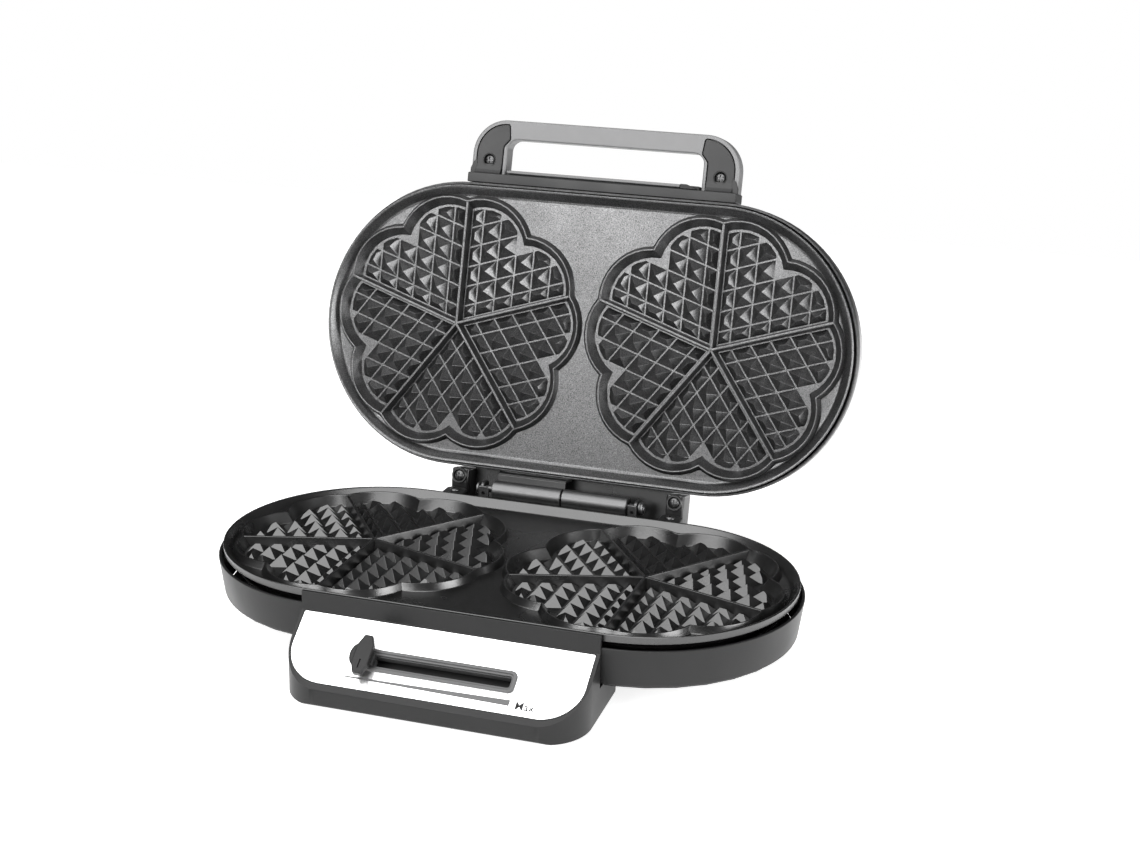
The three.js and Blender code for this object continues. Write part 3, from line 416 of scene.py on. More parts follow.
ACROSS = (0.03, 1, 1)
MATERIALS = {
    "housing": moulded("housing", grey(0.011), 0.40, specular=0.25),
    "horn": moulded("horn", grey(0.022), 0.46, specular=0.35),
    "cheek": moulded("cheek", grey(0.014), 0.30),
    "knob": moulded("knob", grey(0.012), 0.42, specular=0.25),
    "grip": moulded("grip", grey(0.15), 0.46, bump=0.2),
    "slot": moulded("slot", grey(0.07), 0.45),
    "black": moulded("black", grey(0.006), 0.6),
    "rubber": moulded("rubber", grey(0.012), 0.85, bump=0.4),
    "print": moulded("print", grey(0.10), 0.6),
    "ceramic": moulded("ceramic", (0.78, 0.76, 0.70), 0.75, bump=0.4),
    # plate and lower_plate are a lit and a shaded copy of one non-stick coating. The upper plate's lighter,
    # metallic grey is painted light, and the lower plate's near-black is painted shade.
    "plate": coated("plate", grey(0.03), grey(0.15), 0.33, 0.85, speckle=1500),
    "lower_plate": coated("lower_plate", grey(0.002), grey(0.008), 0.29, 0.0, 0.95),
    "frame": coated("frame", grey(0.03), grey(0.08), 0.4, 0.6),
    "panel": metal("panel", grey(0.98), 0.34, None, 0.02),
    "lid": metal("lid", grey(0.55), 0.32, ACROSS, 0.25),
    "trim": moulded("trim", grey(0.10), 0.40),
    "hinge": metal("hinge", grey(0.14), 0.44, None, 0.35, 1600),
    "screw": metal("screw", grey(0.11), 0.40, None, 0.1),
    "element": metal("element", (0.16, 0.14, 0.13), 0.55, None, 0.4),
    "sheet": metal("sheet", grey(0.30), 0.45, ACROSS),
    "copper": metal("copper", (0.55, 0.33, 0.22), 0.35),
}

# ------------------------------------------------------------------ waffle plates


def outline_radius(off_divider, inset):
    """From a waffle's centre to its outline, inset by a margin, some degrees off a divider."""
    angle = math.radians(abs(off_divider) - LOBE_BEARING)
    across = LOBE_REACH * math.sin(angle)
    return LOBE_REACH * math.cos(angle) + math.sqrt((LOBE_RADIUS - inset) ** 2 - across ** 2)


def waffle_outline(inset, steps=9):
    """The waffle's ten arcs as points, anticlockwise from the front divider."""
    points = []
    for k in range(10 * steps):
        degrees = 36 * k / steps
        radius = outline_radius((degrees + 36) % 72 - 36, inset)
        bearing = math.radians(degrees + DIVIDER_FRONT)
        points.append((radius * math.cos(bearing), radius * math.sin(bearing)))
    return points


def clipped(polygon, start, end):
    """The part of a convex polygon on the left of the line from start to end."""
    def side(p):
        return (end[0] - start[0]) * (p[1] - start[1]) - (end[1] - start[1]) * (p[0] - start[0])
    kept = []
    for k, point in enumerate(polygon):
        following = polygon[(k + 1) % len(polygon)]
        here, there = side(point), side(following)
        if here >= 0:
            kept.append(point)
        if here * there < 0:
            share = here / (here - there)
            kept.append(tuple(p + share * (q - p) for p, q in zip(point, following)))
    return kept


def area(polygon):
    return sum(x * v - u * y for (x, y), (u, v) in zip(polygon, polygon[1:] + polygon[:1])) / 2


def hipped_roof(polygon, base, slope, bevel=0.22):
    """A roof on a convex polygon, all its sides sloping alike, with softened edges."""
    planes = []
    for (x, y), (u, v) in zip(polygon, polygon[1:] + polygon[:1]):
        length = math.hypot(u - x, v - y)
        if length > 0.4:
            inward = (-(v - y) / length, (u - x) / length)
            away = inward[0] * x + inward[1] * y
            planes.append((slope * inward[0], slope * inward[1], slope * away - base))
    # A point under every roof plane has a x + b y - z >= d.
    rows = [(a, b, -1.0, d) for a, b, d in planes] + [(0.0, 0.0, 1.0, base)]
    corners = []
    for trio in combinations(rows, 3):
        matrix = Matrix([row[:3] for row in trio])
        if abs(matrix.determinant()) < 1e-6:
            continue
        p = matrix.inverted() @ Vector([row[3] for row in trio])
        if all(a * p.x + b * p.y + c * p.z >= d - 1e-4 for a, b, c, d in rows):
            if all((p - q).length > 1e-3 for q in corners):
                corners.append(p)
    made = bmesh.new()
    for p in corners:
        made.verts.new(p)
    bmesh.ops.convex_hull(made, input=made.verts)
    bmesh.ops.dissolve_limit(made, angle_limit=math.radians(2), verts=made.verts, edges=made.edges)
    ridges = [e for e in made.edges if max(v.co.z for v in e.verts) > base + 0.5]
    bmesh.ops.bevel(made, geom=ridges, offset=bevel, offset_type="OFFSET", segments=2, profile=0.5,
                    affect="EDGES", clamp_overlap=True)
    mesh = bpy.data.meshes.new("roof")
    made.to_mesh(mesh)
    made.free()
    shell = as_shell(mesh)
    bpy.data.meshes.remove(mesh)
    return shell


def heart_side():
    """The pyramids beside a divider that runs along +x, and whether each lies on the heart's middle."""
    skew = (math.cos(math.radians(DIVIDER_STEP)), math.sin(math.radians(DIVIDER_STEP)))
    lobe = [(0, 0)]
    for k in range(7):
        radius = outline_radius(6 * k, GRID_BORDER)
        lobe.append((radius * math.cos(math.radians(6 * k)), radius * math.sin(math.radians(6 * k))))
    lines = [0] + [GRID_FIRST + k * GRID_PITCH for k in range(GRID_COUNT)]
    margin = GRID_CHANNEL / 2 / skew[1]
    beside_divider = 2.6 / skew[1]

    def span(k):
        return (lines[k] + margin if k else beside_divider), lines[k + 1] - margin

    made = []
    for i in range(GRID_COUNT):
        for j in range(i + 1):
            (u0, u1), (v0, v1) = span(i), span(j)
            cell = [(u + v * skew[0], v * skew[1]) for u, v in ((u0, v0), (u1, v0), (u1, v1), (u0, v1))]
            whole = area(cell)
            if i == j and i > 2:
                continue
            if i != j:
                for start, end in zip(lobe[1:], lobe[2:]):
                    cell = clipped(cell, start, end)
            if len(cell) > 2 and area(cell) >= 0.3 * whole:
                made.append((hipped_roof(cell, FLOOR_Z - 0.2, GRID_SLOPE), i == j))
    return made


def waffle_well(centre):
    """The dividers and pyramids of one waffle; its rim and well are part of the cast body."""
    shells = []
    for k in range(5):
        here = at(centre, 0, 0) @ turn(DIVIDER_FRONT + DIVIDER_STEP * k, "Z")
        following = at(centre, 0, 0) @ turn(DIVIDER_FRONT + DIVIDER_STEP * (k + 1), "Z")
        for shell, on_middle in HEART_SIDE:
            shells.append(moved(shell, here))
            if not on_middle:
                shells.append(moved(shell, following, Matrix.Diagonal((1, -1, 1, 1))))
        ridge = filleted([(-2.1, FLOOR_Z - 0.5, 0), (2.1, FLOOR_Z - 0.5, 0), (0.85, -0.3, 0.5),
                          (-0.85, -0.3, 0.5)], 3)
        shells.append(moved(along_x(ridge, 0, DIVIDER_LENGTH), here))
    return shells


RIM_LEVELS = [(-2.1, LAND_Z), (-1.5, LAND_Z + 0.5), (-0.25, -0.5), (-0.05, -0.12), (0.2, 0), (0.7, 0),
              (0.95, -0.12), (1.2, -0.5), (4.7, FLOOR_Z + 0.5), (5.3, FLOOR_Z)]
PLATE_EDGE = [(86.2, LAND_Z), (87.2, LAND_Z + 0.15), (88.0, LAND_Z + 0.7), (91.6, 0.1), (92.1, 0.65),
              (92.6, RIM_Z), (93.3, RIM_Z), (93.65, 0.6), (93.7, 0.2), (93.3, SKIRT_Z + 0.3), (93.0, SKIRT_Z),
              (90.5, SKIRT_Z), (87.5, -7.5), (84.5, UNDER_Z)]


def cast_body():
    """The plate itself: underside, skirt, edge, land, and both rims and wells, as one closed shell."""
    made = bmesh.new()

    def loop(points):
        return [made.verts.new(p) for p in points]

    def join(a, b):
        for k in range(len(a)):
            made.faces.new((a[k], a[(k + 1) % len(a)], b[(k + 1) % len(b)], b[k]))

    vertices, _ = stadium(PLATE_EDGE)
    n = len(vertices) // len(PLATE_EDGE)
    edge_loops = [loop(vertices[k * n:(k + 1) * n]) for k in range(len(PLATE_EDGE))]
    for a, b in zip(edge_loops, edge_loops[1:]):
        join(a, b)
    made.faces.new(edge_loops[-1])
    rims = [edge_loops[0]]
    for centre in (-HALF_SPAN, HALF_SPAN):
        levels = [loop([(x + centre, y, z) for x, y in waffle_outline(inset)]) for inset, z in RIM_LEVELS]
        for a, b in zip(levels, levels[1:]):
            join(a, b)
        made.faces.new(levels[-1])
        rims.append(levels[0])
    flat = [v for rim in rims for v in rim]
    for triangle in tessellate_polygon([[v.co for v in rim] for rim in rims]):
        made.faces.new([flat[i] for i in triangle])
    mesh = bpy.data.meshes.new("cast")
    made.to_mesh(mesh)
    made.free()
    return as_shell(mesh)


HEART_SIDE = heart_side()
WAFFLE_PLATE = [cast_body()] + waffle_well(-HALF_SPAN) + waffle_well(HALF_SPAN)
# The lower plate takes the shaded copy of the coating (painted shade), and the upper plate takes the lit copy
# (painted light).
piece("lower_waffle_plate", WAFFLE_PLATE, BASE, "lower_plate", "base", ["lower_plate"])
piece("upper_waffle_plate", WAFFLE_PLATE, LID @ FLIP, "plate", "lid", ["upper_plate"])

# ------------------------------------------------------------------ base


def mirrored(*spans):
    """A span of x and the same span on the left."""
    return [s for a, b in spans for s in ((a, b), (-b, -a))]


HOUSING_WALL = [(91.4, -30.3), (92.4, -30.2), (93.2, -29.7), (93.6, -28.9), (95.2, -18), (96.72, -7.2),
                (96.68, -6.75), (96.4, -6.4), (96.0, -6.3), (95.2, -6.35), (94.7, -6.7), (94.3, -8.2),
                (91.0, -28), (91.0, -29.6)]


def base_housing():
    shells = [stadium(HOUSING_WALL, closed=True),
              slab((-HINGE_BLOCK_HALF, HINGE_BLOCK_HALF), (92.6, 118), (-29.8, -9), 2.5, 1)]
    for x in mirrored(REAR_LEG):
        shells.append(slab(x, (94.4, 111), (-34, -1.2), 3.5, 1.2))
        foot = filleted([(94.4, -31, 0), (94.4, -50.4, 2), (125, -50.4, 3), (125, -39, 4), (111, -36, 5),
                         (111, -31, 0)])
        shells.append(along_x(foot, *x, 1.0))
    return shells


def control_housing():
    """The wedge in front: grip, panel seat and slider housing in one moulding."""
    side = filleted([(-95.4, 1.6, 0.7), (-95.4, -5.9, 0), (-96.5, -5.9, 0), (-96.5, -10.2, 0),
                     (-97.6, -10.2, 0), (-97.6, -31, 0.8), (-66, -31, 1), (-66, -46.4, 1),
                     (-135.6, -51.2, 1.6), (-137.2, -50, 1), (-137.2, -40.6, 1.6), (-98.0, PANEL_Z, 1.2),
                     (-98.0, 1.6, 0.7)], 3)
    plan = filleted([(-92, -60, 0), (-92, -137.2, 26), (92, -137.2, 26), (92, -60, 0)], 20)
    wedge = combined(along_x(side, -92, 92), "INTERSECT", prism(plan, -60, 10))
    seat = moved(prism(panel_outline(0.35), -0.95, 6), PANEL_IN_MM)
    slot = moved(prism(SLOT_OUTLINE, -9, 4), PANEL_IN_MM)
    return [softened(combined(wedge, "DIFFERENCE", seat, slot), 0.55)]


PANEL_IN_MM = at(0, PANEL_Y, PANEL_Z) @ turn(PANEL_SLOPE, "X")
SLOT_OUTLINE = [(x, y - SLOT_MIDDLE) for x, y in
                filleted([(-SLOT_HALF_LENGTH, -SLOT_HALF_WIDTH, 2), (SLOT_HALF_LENGTH, -SLOT_HALF_WIDTH, 2),
                          (SLOT_HALF_LENGTH, SLOT_HALF_WIDTH, 2), (-SLOT_HALF_LENGTH, SLOT_HALF_WIDTH, 2)], 5)]


def panel_outline(margin):
    half, low, top = PANEL_HALF + margin, -PANEL_LENGTH - margin, -0.6 + margin
    corner = PANEL_CORNER + margin
    return filleted([(-half, top, 1.2), (-half, low, corner), (half, low, corner), (half, top, 1.2)], 20)


def control_panel():
    return [prism(panel_outline(0), -0.8, 0, 0, 0.3, [offset(SLOT_OUTLINE, 0.3)])]


def slot_frame():
    """Raised lip round the slot, with walls that step down to it."""
    def outline(half_x, half_y, corner):
        points = [(-half_x, -half_y), (half_x, -half_y), (half_x, half_y), (-half_x, half_y)]
        return [(x, y - SLOT_MIDDLE) for x, y in filleted([(x, y, corner) for x, y in points], 6)]

    def ring(outer, inner, low, high, edge):
        return prism(outline(*outer), low, high, 0, edge, [outline(*inner)])
    lip = ring((49.4, 6.9, 3.6), (46.9, 4.9, 2.2), 0.05, 1.3, 0.5)
    step = ring((47.6, 5.3, 2.4), (46.2, 3.6, 1.6), -1.4, 0.4, 0.3)
    well = ring((46.9, 4.3, 1.9), (46.0, 3.2, 1.2), -5.4, -1.2, 0.2)
    return [lip, step, well]


def scale_wedge():
    """The printed wedge that widens towards the hot end."""
    low = SCALE_LINE
    points = [(-51, low - 0.35), (MAXIMUM_X, low - 1.8), (MAXIMUM_X, low + 1.8), (-51, low + 0.35)]
    return [prism(points, -0.1, PRINT_HEIGHT)]


def lettering(words, height, x, y):
    """Printed letters on the panel, their lower left corner at (x, y)."""
    curve = bpy.data.curves.new("lettering", "FONT")
    curve.body, curve.size, curve.extrude, curve.resolution_u = words, height, 0.1, 6
    curve.offset = 0.03
    letters = bpy.data.objects.new("lettering", curve)
    bpy.context.scene.collection.objects.link(letters)
    graph = bpy.context.evaluated_depsgraph_get()
    mesh = bpy.data.meshes.new_from_object(letters.evaluated_get(graph))
    bpy.data.objects.remove(letters)
    return moved(as_shell(mesh), at(x, y, PRINT_HEIGHT - 0.1))


def slider_knob():
    """Six-sided grip along the slope, its side tab, and the neck under it."""
    def centred(points):
        return [(x + SLIDER_X + 1.6, y - SLOT_MIDDLE - 1.2) for x, y in points]
    grip = centred(filleted([(2.4, -12.4, 0.8), (5, -6.4, 0.8), (5, 6, 0.8), (2.4, 12.4, 0.8),
                             (-2.4, 12.4, 0.8), (-5, 6, 0.8), (-5, -6.4, 0.8), (-2.4, -12.4, 0.8)], 3))
    tab = centred([(-4.4 + 4.2 * math.cos(a), 0.4 + 7 * math.sin(a))
                   for a in (2 * math.pi * k / 28 for k in range(28))])
    neck = centred(filleted([(-4.2, -3.8, 1), (6.2, -3.8, 1), (6.2, 3.8, 1), (-4.2, 3.8, 1)], 3))
    notch = centred([(-0.45, -9.4), (0.45, -9.4), (0.45, -3.6), (-0.45, -3.6)])
    top = combined(prism(grip, 5.2, 9.2, 0.4, 0.7), "DIFFERENCE", prism(notch, 8.3, 11))
    return [top, prism(tab, 4.4, 7.4, 0.3, 0.8), prism(neck, 1.5, 5.6, 0.3)]


def cable_gland():
    profile = [(3.2, -5), (5.2, -5), (5.2, 5), (6.9, 5), (7.2, 5.3), (7.1, 5.8), (6.7, 7.6), (6.2, 8),
               (4.2, 8), (3.5, 7.6), (3.2, 7)]
    return [lathe(profile, closed=True)]


def foot_pad(top):
    return [lathe([(0, STANDING_Z), (5.4, STANDING_Z), (6.1, STANDING_Z + 0.2), (6.4, STANDING_Z + 0.6),
                   (6.4, top), (0, top)])]


def screw_head(radius, height, recess):
    """Pan head with a cross recess, its underside at z = 0."""
    shank, low_edge = radius * 0.45, height * 0.18
    dome = [(0, -1.0), (shank, -1.0), (shank, 0), (radius * 0.96, 0), (radius, low_edge)]
    for k in range(1, 6):
        a = math.radians(18 * k)
        dome.append((radius * math.cos(a) ** 0.75, height * (0.18 + 0.82 * math.sin(a))))
    dome[-1] = (0, height)
    arm, half = radius * 0.62, radius * 0.13
    cross = [(half, half), (half, arm), (-half, arm), (-half, half), (-arm, half), (-arm, -half),
             (-half, -half), (-half, -arm), (half, -arm), (half, -half), (arm, -half), (arm, half)]
    return combined(lathe(dome, 28), "DIFFERENCE", prism(cross, height - recess, height + 2))


HEAD = screw_head(3.0, 1.7, 1.3)


def place_screws(name, places, matrix, body, scale=1.0):
    for k, place in enumerate(places, 1):
        head = moved(HEAD, place, Matrix.Scale(scale, 4))
        piece(f"{name}_{k}_head", [head], matrix, "screw", body, [f"{name}_{k}"])


piece("base_wall", base_housing(), BASE, "housing", "base",
      ["base_housing", "rear_hinge_block", "rear_left_leg", "rear_right_leg"])
piece("control_wedge", control_housing(), BASE, "housing", "base", ["control_housing"])
piece("panel_sheet", control_panel(), PANEL, "panel", "base", ["control_panel"])
piece("slot_surround", slot_frame(), PANEL, "slot", "base", ["slot_frame"])
piece("slider_grip", slider_knob(), PANEL, "knob", "slider", ["slider_knob"])
piece("scale_print", scale_wedge(), PANEL, "print", "base")
piece("hot_end_print", [lettering("Max", 6.8, MAXIMUM_X + 3.5, SCALE_LINE - 3.2)], PANEL, "black", "base")
piece("gland", cable_gland(), BASE @ at(*GLAND_PLACE) @ TO_BACK, "rubber", "base",
      ["cable_gland"])
for name, x, y, top in (("front_left", -62, -118, -51.2), ("front_right", 62, -118, -51.2),
                        ("rear_left", -75.5, 113, -50.5), ("rear_right", 75.5, 113, -50.5)):
    pad = foot_pad(top)
    piece(f"{name}_pad", pad, BASE @ at(x, y, 0), "rubber", "base", [f"{name}_foot"])
place_screws("ear_screw", [at(x, EAR_Y, -1.2) for x in (-BOSS_X, BOSS_X)], BASE, "base", 1.1)
place_screws("lower_leaf_screw", [at(x, LEAF_SCREW_Y, -7.1) for x in LEAF_SCREW_XS], BASE, "base")

# ------------------------------------------------------------------ hinge


def rolled_knuckle(x0, x1):
    """Rolled tube round the pin, its ends rounded over."""
    profile = [(2.9, x0), (5.8, x0), (6.2, x0 + 0.3), (KNUCKLE, x0 + 0.8), (KNUCKLE, x1 - 0.8),
               (6.2, x1 - 0.3), (5.8, x1), (2.9, x1)]
    return moved(lathe(profile, 48, closed=True), at(0, HINGE_Y, HINGE_Z), ALONG_X)


def lower_leaf():
    back = HINGE_Y + KNUCKLE
    shells = [slab((-56.5, 52.5), (98, back), (-8.7, -7.2), 2, 0.3), rolled_knuckle(*BASE_TUBE),
              slab(BASE_TUBE, (back - 1.5, back), (-8.5, HINGE_Z), 0.6, 0.2)]
    for x in ((-56.5, -54.7), (50.7, 52.5)):
        ear = filleted([(103, -8.5, 0), (back, -8.5, 0), (back, 6.3, 4), (103, 6.3, 4)])
        shells.append(along_x(ear, *x, 0.3))
    for x in ((-57.2, -50.4), (47.2, 53.2)):
        drill = lathe([(0, -5), (1.3, -5), (1.3, 5), (0, 5)], 16)
        drill = moved(drill, at(sum(x) / 2, 101.4, 0.6) @ TO_BACK)
        shells.append(combined(slab(x, (100.6, 102.2), (-8.5, 5.4), 0.5, 0.4), "DIFFERENCE", drill))
    return shells


def upper_leaf():
    top = HINGE_Z + KNUCKLE
    bend = filleted([(96.6, 20, 0), (96.6, top, 2.2), (HINGE_Y, top, 0), (HINGE_Y, top - 1.5, 0),
                     (98.1, top - 1.5, 0.7), (98.1, 20, 0)], 6)
    return [along_x(bend[::-1], *LID_TUBE, 0.3)]


def pin():
    return [rod([(0, -60.5), (3.4, -60.5), (3.8, -60.1), (3.8, -59), (3.4, -58.6), (2.4, -58.6), (2.4, 56.6),
                 (2.1, 57), (0, 57)], HINGE_Y, HINGE_Z)]


def retainer():
    profile = [(2.5, 53), (3.9, 53), (4.3, 53.4), (4.3, 54.3), (3.9, 54.6), (4.3, 54.9), (4.3, 55.8),
               (3.9, 56.2), (2.5, 56.2)]
    return [moved(lathe(profile, 32, closed=True), at(0, HINGE_Y, HINGE_Z), ALONG_X)]


def hinge_cover():
    """Moulding on the back of the lid: a cheek and a screw boss at each side, a roof between."""
    cheek = filleted([(97, 5.2, 1), (107, 5.2, 6), (131, 11, 5), (131, 20, 3), (127, COVER_HIGH, 3),
                      (97, COVER_HIGH, 0)], 6)
    roof = filleted([(97, COVER_LOW, 0), (127.5, COVER_LOW, 0), (127.5, COVER_HIGH, 2), (97, COVER_HIGH, 0)], 4)
    shells = [along_x(roof, -80, 80, 0.4)]
    boss = [(0, 5.0), (3.7, 5.0), (3.9, 3.5), (4.1, 3.2), (4.9, 3.2), (5.2, 3.5), (5.3, 4.2), (5.4, 15),
            (0, 15)]
    for x in mirrored(CHEEK):
        side = math.copysign(1, x[0])
        shells.append(along_x(cheek, *x, 1.6))
        shells.append(moved(lathe(boss, 36), at(side * BOSS_X, BOSS_Y, 0)))
    return shells


piece("base_hinge_leaf", lower_leaf(), BASE, "hinge", "base", ["lower_hinge_leaf"])
piece("pin", pin(), BASE, "hinge", "base", ["hinge_pin"])
piece("pin_retainer_ring", retainer(), BASE, "hinge", "base", ["hinge_pin_retainer"])
# The steel lid leaf takes the black moulding's colour, unlike its own steel tube: painted shade under the hinge
# cover.
piece("lid_hinge_leaf", upper_leaf(), LID, "cheek", "lid", ["upper_hinge_leaf"])
piece("lid_hinge_tube", [rolled_knuckle(*LID_TUBE)], LID, "hinge", "lid")
piece("hinge_moulding", hinge_cover(), LID, "cheek", "lid", ["lid_hinge_cover"])
place_screws("upper_leaf_screw", [at(x, 98.4, 14) @ TO_BACK for x in LID_LEAF_SCREW_XS], LID, "lid", 0.93)
place_screws("lid_hinge_cover_screw", [at(x, BOSS_Y, 4.9) @ UPSIDE_DOWN for x in (-BOSS_X, BOSS_X)], LID,
             "lid", 1.18)

# ------------------------------------------------------------------ lid

FRAME_RING = [(94.35, 9.9), (94.6, 9.65), (95.3, 9.6), (95.8, 9.9), (96, 10.6), (96, 15.7), (95.8, 16),
              (90.2, 16), (90, 15.6), (90.2, 14), (93.4, 13)]
LID_SKIN = [(0, 40.8), (76, 40.3), (82, 39.7), (86.2, 38.3), (89.4, 35.8), (92.2, 31.9), (93.8, 28.6),
            (94.7, 25.6), (94.8, 22), (94.8, 16.4), (95.9, 16.3), (96, 16.6), (96, 22), (95.9, 26),
            (95.0, 29.6), (93.5, 33.2), (90.9, 37.0), (87.4, 39.9), (82.8, 41.3), (76, 41.8), (0, 42)]


def lid_cover():
    """Dished steel skin, its crown carried across the flat middle."""
    return [stadium([(max(r, 0.5), z) for r, z in LID_SKIN])]


def grip_outline():
    low = GRIP_FRONT + GRIP_BAR
    return filleted([(-GRIP_HALF, -99.5, 2.4), (-GRIP_HALF, GRIP_FRONT, GRIP_CORNER),
                     (GRIP_HALF, GRIP_FRONT, GRIP_CORNER), (GRIP_HALF, -99.5, 2.4), (68.5, -99.5, 2.4),
                     (68.5, low, 7), (-68.5, low, 7), (-68.5, -99.5, 2.4)], 14)


def horn_outline(side, margin):
    """A curved tongue let into the grip's underside."""
    outer, tip, corner = GRIP_HALF - 3.4, GRIP_FRONT + 3.2, GRIP_CORNER - 3.4
    points = [(outer, -100, 0), (outer, tip, corner), (68.4, tip, 1.2), (67.2, -127, 2), (71.5, -121.8, 4),
              (71.5, -100, 0)]
    if side < 0:
        points = [(-x, y, r) for x, y, r in reversed(points)]
    outline = filleted(points, 12)
    if sum(x0 * y1 - x1 * y0 for (x0, y0), (x1, y1) in zip(outline, outline[1:] + outline[:1])) < 0:
        outline.reverse()
    return offset(outline, margin)


def lid_grip():
    body = prism(grip_outline(), GRIP_LOW, GRIP_HIGH, 1.1, 2.2, steps=4)
    recesses = [prism(horn_outline(side, 0.75), GRIP_LOW - 2, GRIP_LOW + 4.6) for side in (-1, 1)]
    return [combined(body, "DIFFERENCE", *recesses)]


def lid_yoke():
    """Cross strip, shoulders, ledge and the two horns with their screw wells."""
    profile = filleted([(-96.5, 31.5, 0.6), (-102.9, 31.5, 0.6), (-102.9, 13, 0.7), (-96.5, 13, 0.5)], 3)
    shells = [along_x(profile, -93.5, 93.5, 0.8)]
    for side in (-1, 1):
        horn = prism(horn_outline(side, 0), GRIP_LOW - 0.4, GRIP_LOW + 4.3, 0.5)
        well = lathe([(0, 12), (4.5, 12), (4.3, 18.2), (4.2, 20.2), (0, 20.2)], 32)
        well = moved(well, at(side * HANDLE_SCREW_X, HANDLE_SCREW_Y, 0))
        cove = filleted([(-102.6, 13.4, 0), (-102.6, 20, 0), (-109.5, 20, 0), (-109.5, 17.6, 0),
                         (-106, 17.1, 3), (-103.4, 15.2, 2)][::-1], 4)
        x = sorted((side * 71.6, side * 89.5))
        shoulder = [(89, -112.5), (91.6, -110.5), (93.4, -106), (93.4, -102), (89, -102)]
        shoulder = [(side * x, y) for x, y in shoulder]
        shells += [combined(horn, "DIFFERENCE", well), along_x(cove, *x, 0.2),
                   prism(shoulder[::side], GRIP_LOW - 0.9, GRIP_LOW + 1, 0.3)]
    return shells


def screw_ring(x, y):
    """Raised lip round a screw well."""
    profile = [(3.9, 17.8), (4.1, 17.45), (4.6, 17.4), (4.9, 17.7), (4.9, 19.8), (3.9, 19.8)]
    return moved(lathe(profile, 36, closed=True), at(x, y, 0))


def trim_strip():
    return [slab((-66, 55), (-105.9, -104), (13.4, 16.7), 0.5, 0.4)]


def trim_clip():
    plan = filleted([(55.3, -106.2, 0.4), (59.5, -106.2, 0.8), (66, -103.8, 0.5), (66, -103.2, 0),
                     (55.3, -103.2, 0)], 3)
    return [prism(plan, 13, 16.7, 0.3)]


piece("lid_ring", [stadium(FRAME_RING, closed=True)], LID, "frame", "lid", ["lid_frame"])
piece("lid_skin", lid_cover(), LID, "lid", "lid", ["lid_cover"])
piece("lid_grip", lid_grip(), LID, "grip", "lid", ["lid_handle_grip"])
piece("lid_yoke", lid_yoke(), LID, "horn", "lid", ["lid_handle_yoke"])
handle_screws = [(x, HANDLE_SCREW_Y) for x in (-HANDLE_SCREW_X, HANDLE_SCREW_X)]
piece("screw_rings", [screw_ring(x, y) for x, y in handle_screws], LID, "black", "lid")
piece("lid_yoke_ledge", [slab((-67.5, 67.5), (-105.6, -102), (17, 31.5), 0.8, 0.4)], LID, "black", "lid")
piece("trim_bar", trim_strip(), LID, "trim", "lid", ["lid_trim_strip"])
piece("trim_end", trim_clip(), LID, "knob", "lid", ["lid_trim_clip"])
place_screws("lid_handle_screw", [at(x, y, 20.1) @ UPSIDE_DOWN for x, y in handle_screws], LID, "lid", 1.25)

# ------------------------------------------------------------------ CAD pieces that stay, mostly inside

KEPT = {
    "bottom_cover": "housing", "control_housing_cover": "housing", "slider_guide": "black",
    "slider_carriage": "slot", "thermostat_push_rod": "trim", "thermostat_body": "ceramic",
    "thermostat_bulb": "copper", "thermal_fuse": "screw", "terminal_block": "ceramic",
    "lower_heating_element": "element", "upper_heating_element": "element", "lower_reflector": "sheet",
    "upper_reflector": "sheet",
}
for name, node in frame["nodes"].items():
    if not node.hide_render:
        node.data.materials.clear()
        node.data.materials.append(MATERIALS[KEPT.get(name, "screw")])

# ------------------------------------------------------------------ stage


def floor():
    mesh = bpy.data.meshes.new("floor")
    mesh.from_pydata([(-1.3, -1.3, 0), (1.3, -1.3, 0), (1.3, 1.2, 0), (-1.3, 1.2, 0)], [], [(0, 1, 2, 3)])
    material, _, _, shader = node_material("floor")
    shader.inputs["Base Color"].default_value = (0.95, 0.95, 0.95, 1)
    shader.inputs["Roughness"].default_value = 0.9
    shader.inputs["Specular IOR Level"].default_value = 0.1
    shader.inputs["Emission Color"].default_value = (1, 1, 1, 1)
    shader.inputs["Emission Strength"].default_value = 0.75
    mesh.materials.append(material)
    obj = bpy.data.objects.new("floor", mesh)
    bpy.context.scene.collection.objects.link(obj)


def softbox(name, place, aim, size, power):
    data = bpy.data.lights.new(name, "AREA")
    data.shape, data.size, data.size_y, data.energy = "RECTANGLE", size[0], size[1], power
    obj = bpy.data.objects.new(name, data)
    obj.location = place
    obj.rotation_euler = (Vector(aim) - Vector(place)).to_track_quat("-Z", "Y").to_euler()
    bpy.context.scene.collection.objects.link(obj)


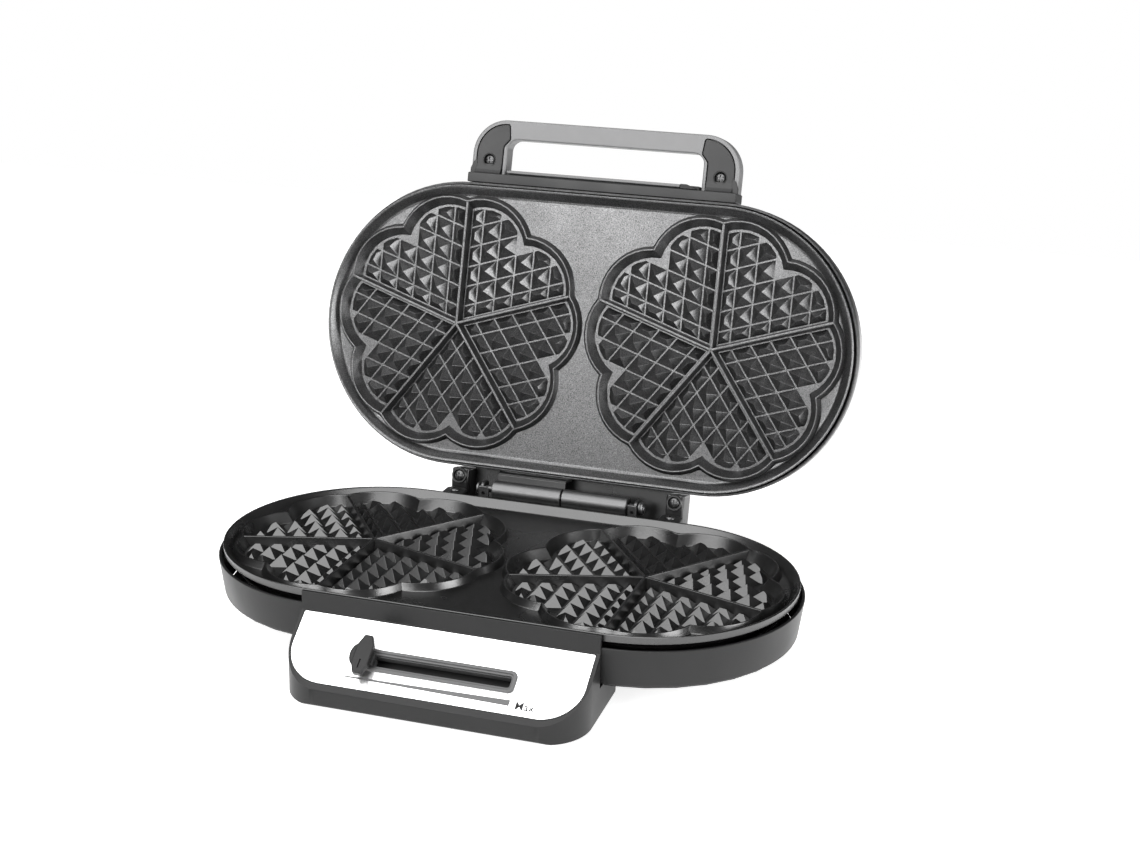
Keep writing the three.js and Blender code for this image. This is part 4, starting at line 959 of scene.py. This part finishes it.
OVERHEAD_WATTS, RIGHT_WATTS, FRONT_WATTS = 46, 27, 30
FILL = 0.05
FOCAL_LENGTH, SENSOR_WIDTH, CAMERA_ROLL = 63.15, 36, 1.11
CAMERA_PLACE, CAMERA_TARGET = (392.4, -1081.0, 456.0), (39.5, 0, 88.3)      # from PARTING


def world_light(seen, lit):
    """White behind the object, a dimmer even light on it."""
    world = bpy.data.worlds.new("studio")
    world.use_nodes = True
    nodes, links = world.node_tree.nodes, world.node_tree.links
    background = nodes["Background"]
    background.inputs["Color"].default_value = (1, 1, 1, 1)
    path, level = nodes.new("ShaderNodeLightPath"), nodes.new("ShaderNodeMapRange")
    level.inputs["To Min"].default_value = lit
    level.inputs["To Max"].default_value = seen
    links.new(path.outputs["Is Camera Ray"], level.inputs["Value"])
    links.new(level.outputs["Result"], background.inputs["Strength"])
    bpy.context.scene.world = world


def studio():
    world_light(1.0, FILL)
    bpy.context.scene.view_settings.view_transform = "Standard"
    softbox("overhead", (-0.25, -0.78, 1.6), (-0.05, -0.2, 0.05), (2.2, 1.6), OVERHEAD_WATTS)
    softbox("right", (1.6, -0.45, 0.4), (0, 0, 0.15), (1.0, 0.9), RIGHT_WATTS)
    softbox("front", (-0.7, -2.1, 1.05), (0, 0, 0.15), (1.2, 0.7), FRONT_WATTS)


def camera():
    data = bpy.data.cameras.new("camera")
    data.lens, data.sensor_width = FOCAL_LENGTH, SENSOR_WIDTH
    data.clip_start, data.clip_end = 0.05, 30
    obj = bpy.data.objects.new("camera", data)
    place = PARTING + Vector(CAMERA_PLACE) * MM
    target = PARTING + Vector(CAMERA_TARGET) * MM
    back = (place - target).normalized()
    right = Vector((0, 0, 1)).cross(back).normalized()
    roll = Matrix.Rotation(math.radians(CAMERA_ROLL), 3, back)
    right = roll @ right
    upward = back.cross(right)
    turned = Matrix((right, upward, back)).transposed().to_4x4()
    obj.matrix_world = Matrix.Translation(place) @ turned
    bpy.context.scene.collection.objects.link(obj)
    bpy.context.scene.camera = obj


floor()
studio()
camera()
